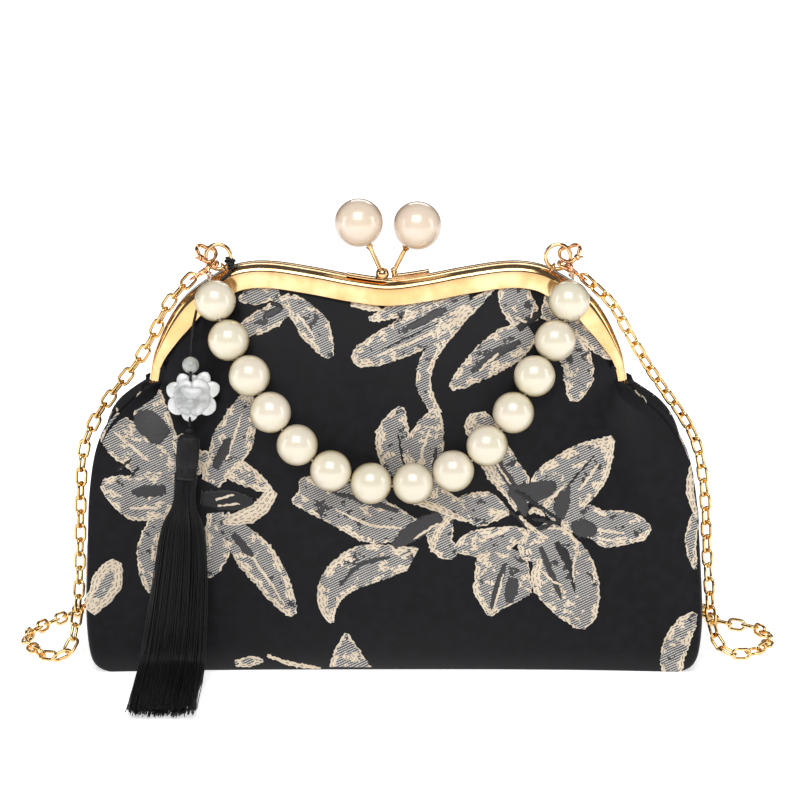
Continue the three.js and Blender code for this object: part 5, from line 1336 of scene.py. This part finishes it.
def claspParts(width, length, neck):
    # parts in the clasp's own space: x across, y up to the notch, z through it
    outer = hookLine(width / 2, length / 2)
    inner = hookLine(width / 2 - clasp["band"], length / 2 - clasp["band"])
    angles = np.arctan2(outer[:, 1], outer[:, 0])
    nearest = int(np.abs(angles - math.radians(clasp["pivotTurn"])).argmin())
    pivot = (outer[nearest] + inner[nearest]) / 2
    reach = clasp["gateReach"] * np.linalg.norm(pivot - inner[0])
    middle = (outer + inner) / 2
    wide = np.linalg.norm(outer - inner, axis=1) / 2
    fromPin = np.linalg.norm(middle - pivot, axis=1)
    heading = np.degrees(np.arctan2(middle[:, 1] - pivot[1], middle[:, 0] - pivot[0]))
    onGate = (heading > 0) & (heading < clasp["gateTurn"])
    gate = onGate & (fromPin > clasp["hub"] + seat / 2) & (fromPin < reach + seat)
    start = int(np.where(gate)[0].min())
    stop = int(np.where(gate)[0].max())
    order = [k % len(outer) for k in range(stop + 1, start + len(outer))]

    def bar(indices, thick, grow=1.0):
        # a bar of rounded square section along part of the hook
        barSides, squareness = 14, 0.72
        rings = []
        for k in indices:
            out = unit(np.append(outer[k] - inner[k], 0))
            centre = np.append(middle[k], 0)
            turn = roundAngles(barSides)
            u = np.sign(np.cos(turn)) * np.abs(np.cos(turn)) ** squareness
            v = np.sign(np.sin(turn)) * np.abs(np.sin(turn)) ** squareness
            rings.append(centre + np.outer(u * wide[k] * grow, out) + np.outer(v * thick / 2, axisZ))
        return np.array(rings), gridFaces(len(rings), barSides, True) + endCaps(len(rings), barSides)

    lever = [k for k in range(len(outer)) if onGate[k] and fromPin[k] < reach]
    lever = sorted(lever, key=lambda k: (k - stop - 1) % len(outer))
    pin = np.append(pivot, 0)
    hub = clasp["hub"]
    low, high = -clasp["thick"] / 2, -clasp["leverThick"] / 2 - 0.1
    cheek = [(0, low), (hub * 0.8, low), (hub * 1.02, low + 0.2), (hub * 1.02, high), (0, high)]
    body = [bar(order, clasp["thick"]), lathe(cheek, 20, pin, axisX, axisY, axisZ),
            lathe(cheek, 20, pin, axisX, -axisY, -axisZ)]
    eyeY = claspFoot * length / 2 - neck - clasp["eyeRadius"]
    neckLong = claspFoot * length / 2 + clasp["neckTop"] - eyeY
    neckProfile = [(r, neckLong * h) for r, h in clasp["neckRows"]]
    neckProfile += [(0.5, clasp["eyeRadius"] * 0.98), (0, clasp["eyeRadius"] * 0.98)]
    body.append(lathe(neckProfile, 18, (0, eyeY, 0), axisZ, axisX, axisY))
    eyeLoop = ringAround(arr(0, eyeY, 0), axisX, axisY, clasp["eyeRadius"], 32)
    body.append(tubeAlong(eyeLoop, clasp["eyeWire"], 10, closed=True))

    hubProfile = [(0, -0.4), (hub * 0.94, -0.4), (hub, -0.3), (hub, 0.3), (hub * 0.94, 0.4), (0, 0.4)]
    knobLine = [pin + arr(x, x * -0.2, 0) for x in (0.5, 1.4, 2.5)]
    leverParts = [bar(lever, clasp["leverThick"], 0.96), lathe(hubProfile, 20, pin, axisX, axisY, axisZ),
                  tubeAlong(smoothLine(knobLine, between=4), np.linspace(0.34, 0.4, 9), 12)]
    return body, leverParts, arr(0, eyeY, 0)


def claspPieces(kind, word, neck, across, down, flat, origin):
    # the body and the gate of one clasp; gives the middle of its eye
    body, lever, eye = claspParts(clasp[kind]["width"], clasp[kind]["length"], neck)
    basis = np.stack([across, -down, flat])
    for part, parts, rides, node in (("Clasp", body, "bag", "_clasp_"), ("Gate", lever, None, "_clasp_lever_")):
        node = kind + node + word
        placed = [(np.asarray(p, float).reshape(-1, 3) @ basis + origin, f) for p, f in parts]
        meshPiece(kind + part + word.capitalize(), placed, roseBrass, rides or node, [node], 48)
    return origin - down * eye[1]


threadEnds = []
for side, word in ((-1, "left"), (1, "right")):
    wirePoint, wireAlong = ringWireAt(side, handle["claspTurn"])
    end, nextSpot = (pearlSpots[0], pearlSpots[1]) if side < 0 else (pearlSpots[-1], pearlSpots[-2])
    axis = boreAxis(wirePoint, end, nextSpot)
    down = end - axis * pearlRadius - wirePoint
    distance = np.linalg.norm(down)
    down = unit(down)
    flat = unit(wireAlong - down * wireAlong.dot(down))
    across = np.cross(-down, flat)
    if across[0] * side < 0:
        flat, across = -flat, -across
    toEye = distance - 2 * handle["loop"] - handle["loopWire"] - slack
    neck = toEye - handle["claspHang"] + claspFoot * clasp["handle"]["length"] / 2 - clasp["eyeRadius"]
    eyeSpot = claspPieces("handle", word, neck, across, down, flat, wirePoint + down * handle["claspHang"])
    threadEnds.append((eyeSpot, down, flat))

chainEnds = []
for side, word in ((-1, "left"), (1, "right")):
    wirePoint, _ = ringWireAt(side, clasp["chainTurn"])
    fall = math.radians(clasp["chainFall"])
    down = arr(side * math.cos(fall), 0, -math.sin(fall))
    flat = arr(side * math.sin(fall), 0, math.cos(fall))
    across = np.cross(-down, flat)
    origin = wirePoint + down * clasp["chainHang"] + axisY * clasp["chainShift"]
    eyeSpot = claspPieces("chain", word, clasp["chain"]["neck"], across, down, flat, origin)
    chainEnds.append(eyeSpot + down * (clasp["eyeRadius"] + clasp["eyeWire"] + seat))

# the thread through the pearls, knotted to a small ring at each end
threadStops = [threadEnds[0][0] + threadEnds[0][1] * 2 * handle["loop"]]
for spot, axis in zip(pearlSpots, pearlAxes):
    threadStops += [spot - axis * pearlRadius * 0.85, spot, spot + axis * pearlRadius * 0.85]
threadStops.append(threadEnds[1][0] + threadEnds[1][1] * 2 * handle["loop"])
threadParts = [tubeAlong(smoothLine(threadStops, between=5), handle["thread"], 10)]
for eye, down, flat in threadEnds:
    middle = eye + down * handle["loop"]
    loop = ringAround(middle, down, flat, handle["loop"], 24)
    threadParts.append(tubeAlong(loop, handle["loopWire"], 8, closed=True))
meshPiece("handleThread", threadParts, nylon, replaces=["handle_thread"])
print("clasps, gates and thread")


shoulderChain = {
    "pitch": 5.75, "linkLong": 8.1, "linkWide": 5.3, "wire": 0.62, "roll": 0.35,
    "route": [(-88.2, -4, 141.5), (-94.3, -4, 129), (-101, -4, 118.2), (-109.5, -4, 107.4), (-117, -4, 96.6),
              (-122.2, -4, 85), (-124, -4.5, 71), (-124.6, -5, 56), (-125.2, -6, 40), (-126, -8, 24),
              (-127.5, -12, 11), (-130, -18.5, 3.6), (-136, -20, 2.8), (-144.5, -10.5, 2.8), (-148.5, 2, 2.8),
              (-144.5, 16, 2.8), (-137.5, 27, 2.8), (-130.5, 40, 2.8), (-126, 66, 2.8), (-112, 100, 2.8),
              (-84, 128, 2.8), (-45, 144, 2.8), (0, 149, 2.8), (45, 144, 2.8), (84, 128, 2.8), (112, 100, 2.8),
              (126, 66, 2.8), (128.5, 40, 2.8), (130.5, 26, 2.8), (138, 19, 2.8), (146.5, 15, 2.8), (151, 4, 2.8),
              (148.5, -8, 2.8), (141, -16, 2.8), (134, -17, 2.8), (128.6, -12, 6.5), (126.4, -10, 15),
              (125.4, -8, 28), (124.2, -6, 44), (123.4, -5, 60), (121.8, -4, 74), (119.2, -4, 85.5),
              (114.2, -4, 95.5), (106.5, -4, 106.5), (98.5, -4, 118.5), (91.6, -4, 130), (85, -4, 141.5)],
}
chainLine = smoothLine([chainEnds[0]] + shoulderChain["route"] + [chainEnds[1]], between=14)
chainLength = runOf(chainLine)[-1]
linkCount = int(round(chainLength / shoulderChain["pitch"])) + 1
linkSpots = atShares(chainLine, np.linspace(0.0, 1.0, linkCount))
linkTangents, linkSides, linkDeeps = carriedSides(linkSpots, first=(0, 1, 0))
# links lie turned a quarter from one to the next
linkRoll = shoulderChain["roll"] + np.arange(linkCount) % 2 * math.pi / 2
linkFaces = linkSides * np.cos(linkRoll)[:, None] + linkDeeps * np.sin(linkRoll)[:, None]

chainTree, tree, groupIn, groupOut = newGeometryTree("chainLinks", {
    "Link Long": ("Float", 0.0081), "Link Wide": ("Float", 0.0053), "Wire": ("Float", 0.0006)})
oblong = tree.node("GeometryNodeCurvePrimitiveQuadrilateral", mode="RECTANGLE")
wireTwice = tree.times(groupIn.outputs["Wire"], 2.0)
tree.put(oblong.inputs["Width"], tree.minus(groupIn.outputs["Link Long"], wireTwice))
tree.put(oblong.inputs["Height"], tree.minus(groupIn.outputs["Link Wide"], wireTwice))
cornerRadius = tree.times(tree.minus(groupIn.outputs["Link Wide"], wireTwice), 0.48)
fillet = tree.node("GeometryNodeFilletCurve", {"Curve": oblong.outputs[0], "Radius": cornerRadius, "Count": 5},
                   mode="POLY")
wireRing = tree.node("GeometryNodeCurvePrimitiveCircle", {"Resolution": 8}, mode="RADIUS")
tree.put(wireRing.inputs["Radius"], groupIn.outputs["Wire"])
oneLink = tree.node("GeometryNodeCurveToMesh", {"Curve": fillet.outputs[0], "Profile Curve": wireRing.outputs[0]})
toTangent = tree.node("FunctionNodeAxesToRotation", {"Primary Axis": named(tree, "runWay", "FLOAT_VECTOR"),
                                                     "Secondary Axis": named(tree, "faceWay", "FLOAT_VECTOR")},
                      primary_axis="X", secondary_axis="Z")
points = tree.node("GeometryNodeMeshToPoints", {"Mesh": groupIn.outputs["Geometry"]})
links = tree.node("GeometryNodeInstanceOnPoints", {"Points": points.outputs[0], "Instance": oneLink.outputs[0],
                                                   "Rotation": toTangent.outputs[0]})
endTree(tree, links.outputs[0], groupIn, groupOut)
linkObject = pathObject("linkSpots", linkSpots, {"runWay": linkTangents, "faceWay": linkFaces})
grownMesh(linkObject, chainTree, {
    "Link Long": shoulderChain["linkLong"] * millimetre, "Link Wide": shoulderChain["linkWide"] * millimetre,
    "Wire": shoulderChain["wire"] * millimetre,
}, "shoulderChain", chainBrass, replaces=["shoulder_chain"])
print("shoulder chain, %d links over %.0f mm" % (linkCount, chainLength))


def cordFrame(row):
    # place and directions on the cord at one of its route's points; z runs up the cord
    k = row * 16
    axis = -unit(cordLine[min(k + 1, len(cordLine) - 1)] - cordLine[max(k - 1, 0)])
    side = unit(axisX - axis * axis[0])
    return cordLine[min(k, len(cordLine) - 1)], side, np.cross(axis, side), axis


knot = {"ringTurn": 160, "apart": 0.62, "turns": 3, "turnRadius": 0.72, "strand": 0.52, "first": 0.2, "step": 0.27}
ringPoint, ringAlong = ringWireAt(-1, knot["ringTurn"])
loopRadius = shoulderRing["wire"] + tasselCord["diameter"] / 2 + seat
knotOut = arr(0, -1, 0)
knotAcross = np.cross(ringAlong, knotOut)
knotParts = []
for shift in (-knot["apart"], knot["apart"]):
    loop = ringAround(ringPoint + ringAlong * shift, knotOut, knotAcross, loopRadius, 30)
    knotParts.append(tubeAlong(loop, tasselCord["diameter"] / 2 * 0.96, 10, closed=True))
cordStart = arr(*tasselCord["route"][0])
knotFrom = ringPoint + knotOut * loopRadius
knotDown = unit(cordStart - knotFrom)
knotLength = np.linalg.norm(cordStart - knotFrom)
knotSide = unit(axisX - knotDown * knotDown[0])
knotDeep = np.cross(knotDown, knotSide)
for turnNumber in range(knot["turns"]):
    # three wound turns make the knot's body
    a = roundAngles(26)
    centre = knotFrom + knotDown * knotLength * (knot["first"] + knot["step"] * turnNumber)
    tilt = 0.35 * knotDown * math.sin(turnNumber + 0.6)
    loop = centre + np.outer(np.cos(a) * knot["turnRadius"], knotSide) \
        + np.outer(np.sin(a) * knot["turnRadius"], knotDeep) + np.outer(np.cos(a + turnNumber), tilt)
    knotParts.append(tubeAlong(loop, knot["strand"], 10, closed=True))
knotPiece = meshPiece("cordKnot", knotParts, blackSilk, replaces=["cord_knot"])

bead = {"diameter": 6.6, "bore": 1.05}
beadRadius = bead["diameter"] / 2
beadOpen = math.asin(bead["bore"] / beadRadius)
profile = [(bead["bore"], -beadRadius * math.cos(beadOpen) * 0.4)]
profile += ballProfile(beadRadius, beadOpen + 0.08, math.pi - beadOpen - 0.08, 22)
profile += [(bead["bore"], beadRadius * math.cos(beadOpen) * way) for way in (0.4, -0.4)]
place, side, deep, axis = cordFrame(tasselCord["beadRow"])
beadShape = lathe(profile, 36, place, side, deep, axis)
beadPiece = meshPiece("jadeBead", [(beadShape[0], beadShape[1][:-2])], beadJade, replaces=["tassel_bead"])

# the lotus is carved jade: overlapping petals that all spring from its heart, each with a ridge and a hollow
lotus = {
    "width": 21, "height": 18.6, "thick": 6.4, "rows": 22, "sides": 24, "heart": (0.06, 0.1), "widest": 0.66,
    # tip across and up as shares, half width of the petal, how far forward it lies, all shares of half the lotus
    "petals": [(-0.4, 1.12, 0.27, -0.3), (0.62, 1.2, 0.28, -0.25), (0.1, 1.1, 0.3, -0.5), (-0.88, 0.58, 0.32, -0.1),
               (1.06, 0.66, 0.31, -0.1), (-0.8, -0.36, 0.36, 0.0), (0.93, -0.36, 0.36, 0.0), (-0.06, -0.87, 0.3, 0.1),
               (-0.42, 0.78, 0.36, 0.25), (0.56, 0.84, 0.36, 0.25), (-0.62, 0.16, 0.42, 0.3), (0.76, 0.2, 0.42, 0.3),
               (-0.44, -0.42, 0.4, 0.3), (0.52, -0.46, 0.4, 0.3), (0.08, 0.7, 0.42, 0.45)],
}
place, side, deep, axis = cordFrame(tasselCord["lotusRow"])
halfWide, halfHigh, halfThick = lotus["width"] / 2, lotus["height"] / 2, lotus["thick"] / 2


def lotusPetal(tipAcross, tipUp, wide, forward):
    # a leaf from the heart to its tip; it swells towards the viewer and thins to its rim
    heart = arr(lotus["heart"][0] * halfWide, lotus["heart"][1] * halfHigh)
    way = arr(tipAcross * halfWide, tipUp * halfHigh) - heart
    long = np.linalg.norm(way)
    way = way / long
    cross = arr(-way[1], way[0])
    rows = []
    for t in np.linspace(0, 1, lotus["rows"]):
        # it widens to two thirds of the way and ends in a round tip
        past = max(0.0, (t - lotus["widest"]) / (1 - lotus["widest"]))
        halfLeaf = wide * halfWide * (0.5 + 0.5 * math.sin(math.pi / 2 * min(1, t / lotus["widest"])))
        halfLeaf *= max(0.04, (1 - past ** 2) ** 0.6)
        leafThick = halfThick * (0.4 - 0.2 * t) * max(0.1, (1 - past ** 3) ** 0.5)
        middle = heart + way * long * t
        lift = -forward * halfThick * (0.55 + 0.35 * math.sin(math.pi * t)) + halfThick * 0.2 * t * t
        a = roundAngles(lotus["sides"])
        u = np.cos(a) * halfLeaf
        # a hollow down the middle of the front face, between two soft ridges
        v = np.sin(a) * leafThick * (1 - 0.28 * np.exp(-(np.cos(a) / 0.35) ** 2) * t)
        flat = middle[None] + u[:, None] * cross[None]
        rows.append(place + np.outer(flat[:, 0], side) + np.outer(flat[:, 1], axis) + np.outer(lift + v, deep))
    count = lotus["sides"]
    return np.array(rows), gridFaces(len(rows), count, True) + endCaps(len(rows), count)


lotusParts = [lotusPetal(*row) for row in lotus["petals"]]
# the lotus's core, a flattened ball inside the petals
core = {"size": 0.78, "drop": 0.1, "wide": 1.7, "deep": 0.8, "high": 1.3}
lotusParts.append(lathe(ballProfile(halfThick * core["size"], steps=16), 28, place - axis * halfHigh * core["drop"],
                        side * core["wide"], deep * core["deep"], axis * core["high"]))
lotusPiece = meshPiece("jadeLotus", lotusParts, jade, replaces=["lotus"])

tassel = {
    "threads": 620, "thread": 0.2, "seed": 11, "uneven": 0.035, "skirtWidth": 27, "skirtDepth": 12, "headDiameter": 8.6,
    "route": [(-80.4, -28, 80), (-81, -30.6, 70), (-81.6, -33.4, 58), (-82.4, -36, 44), (-83.6, -38.2, 30),
              (-85, -40.4, 17.5), (-86, -45, 8.2), (-86.6, -54, 4.9), (-87, -67, 4), (-87, -84, 3.2)],
    "form": [(0, 0.34, 0.36), (0.08, 0.31, 0.32), (0.2, 0.66, 0.72), (0.35, 0.8, 0.86), (0.55, 0.92, 0.9),
             (0.7, 1, 0.72), (0.85, 1, 0.48), (1, 1, 0.4)],
}
skirtLine = smoothLine(tassel["route"], between=12)
skirtShares = np.linspace(0, 1, 34)
skirtSpots = atShares(skirtLine, skirtShares)
skirtTangents = tangentsOf(skirtSpots)
skirtSides = np.array([unit(axisX - t * t[0]) for t in skirtTangents])
skirtDeeps = np.cross(skirtTangents, skirtSides)
form = np.array(tassel["form"])
formLine = smoothLine(form, between=8)
skirtAcross = np.interp(skirtShares, formLine[:, 0], formLine[:, 1]) * tassel["skirtWidth"] / 2 * millimetre
skirtDeep = np.interp(skirtShares, formLine[:, 0], formLine[:, 2]) * tassel["skirtDepth"] / 2 * millimetre

threadTree, tree, groupIn, groupOut = newGeometryTree("tasselThreads", {
    "Threads": ("Int", 400), "Thread": ("Float", 0.0002), "Seed": ("Int", 1),
    "Uneven": ("Float", 0.05)})
line = tree.node("GeometryNodeMeshToCurve", {"Mesh": groupIn.outputs["Geometry"]})
many = tree.node("GeometryNodeDuplicateElements", {"Geometry": line.outputs[0],
                                                   "Amount": groupIn.outputs["Threads"]}, domain="SPLINE")
threadNumber = many.outputs["Duplicate Index"]


def randomFor(low, high, offset):
    made = tree.node("FunctionNodeRandomValue", data_type="FLOAT")
    made.inputs[2].default_value = low
    made.inputs[3].default_value = high
    tree.put(made.inputs["ID"], threadNumber)
    tree.put(made.inputs["Seed"], tree.add(groupIn.outputs["Seed"], float(offset)))
    return made.outputs[1]


turn = randomFor(0, 2 * math.pi, 0)
outShare = tree.math("POWER", randomFor(0.0, 1.0, 1), 0.42)
along = tree.node("GeometryNodeSplineParameter").outputs["Factor"]
waver = tree.times(tree.math("SINE", tree.add(tree.times(along, 7.0),
                                                         randomFor(0, 6.28, 3))), tree.times(along, 0.05))
acrossBy = tree.add(tree.times(tree.math("COSINE", turn), outShare), waver)
deepBy = tree.times(tree.math("SINE", turn), outShare)
acrossFar = tree.times(acrossBy, named(tree, "acrossReach"))
deepFar = tree.times(deepBy, named(tree, "deepReach"))
moveSide = tree.node("ShaderNodeVectorMath", {0: named(tree, "sideWay", "FLOAT_VECTOR")}, operation="SCALE")
tree.put(moveSide.inputs["Scale"], acrossFar)
moveDeep = tree.node("ShaderNodeVectorMath", {0: named(tree, "deepWay", "FLOAT_VECTOR")}, operation="SCALE")
tree.put(moveDeep.inputs["Scale"], deepFar)
move = tree.node("ShaderNodeVectorMath", {0: moveSide.outputs[0], 1: moveDeep.outputs[0]}, operation="ADD")
moved = tree.node("GeometryNodeSetPosition", {"Geometry": many.outputs[0], "Offset": move.outputs[0]})
cut = tree.node("GeometryNodeTrimCurve", {"Curve": moved.outputs[0]}, mode="FACTOR")
tree.put(cut.inputs["End"], tree.minus(1.0, tree.times(randomFor(0.0, 1.0, 5), groupIn.outputs["Uneven"])))
wireRing = tree.node("GeometryNodeCurvePrimitiveCircle", {"Resolution": 3}, mode="RADIUS")
tree.put(wireRing.inputs["Radius"], groupIn.outputs["Thread"])
threadMesh = tree.node("GeometryNodeCurveToMesh", {"Curve": cut.outputs[0], "Profile Curve": wireRing.outputs[0],
                                                   "Fill Caps": True})
endTree(tree, threadMesh.outputs[0], groupIn, groupOut)
skirtObject = pathObject("skirtSpots", skirtSpots, {"acrossReach": skirtAcross * 0.97, "deepReach": skirtDeep * 0.96,
                                                    "sideWay": skirtSides, "deepWay": skirtDeeps})
grownMesh(skirtObject, threadTree, {
    "Threads": tassel["threads"], "Thread": tassel["thread"] * millimetre, "Seed": tassel["seed"],
    "Uneven": tassel["uneven"]}, "tasselThreads", blackSilk, replaces=["tassel"])

# the bound head over the skirt's neck, ribbed by the threads that run under the binding
headTop = arr(*tasselCord["route"][-1])
headLow = arr(*tassel["route"][0])
headDown = unit(headLow - headTop)
headFull = np.linalg.norm(headLow - headTop)
headRadius = tassel["headDiameter"] / 2
headForm = {
    "knot": 2.6, "knotRows": [(0.8, 0.3), (0.95, 1), (0.8, 1.6)], "neckRows": [(0.66, 2.0), (0.93, 2.9)],
    "bellRows": [(1, 0.55), (0.98, 0.8), (0.84, 1)], "tuck": 2.5, "sides": 144, "ridges": 36, "ridgeDepth": 0.028,
    "turns": 9, "bindStart": 2.6, "bindLength": 3.6, "bindShare": 0.9, "bindThread": 0.24,
}
headKnot = tasselCord["diameter"] / 2 * headForm["knot"]
headRows = [(0.05, seat)] + [(headKnot * r, seat + headKnot * h) for r, h in headForm["knotRows"]]
headRows += [(headRadius * r, seat + headKnot * h) for r, h in headForm["neckRows"]]
headRows += [(headRadius * r, headFull * h) for r, h in headForm["bellRows"]]
headRows += [(headRadius * 0.8, headFull + headForm["tuck"]), (0.05, headFull + headForm["tuck"] + 0.5)]
headSide = unit(axisX - headDown * headDown[0])
headDeep = np.cross(headSide, headDown)
headParts = [lathe(smoothLine(headRows, between=6), headForm["sides"], headTop, headSide, headDeep, headDown,
                   ridges=headForm["ridges"], ridgeDepth=headForm["ridgeDepth"])]
a = np.linspace(0, headForm["turns"] * 2 * math.pi, headForm["turns"] * 28)
bindRadius = headRadius * headForm["bindShare"]
bindLine = headTop + np.outer(np.cos(a) * bindRadius, headSide) + np.outer(np.sin(a) * bindRadius, headDeep) \
    + np.outer(headFull - headForm["bindStart"] + a / a[-1] * headForm["bindLength"], headDown)
headParts.append(tubeAlong(bindLine, headForm["bindThread"], 6))
headPiece = meshPiece("tasselHead", headParts, blackSilk, replaces=["tassel"])

print("pendant and tassel")
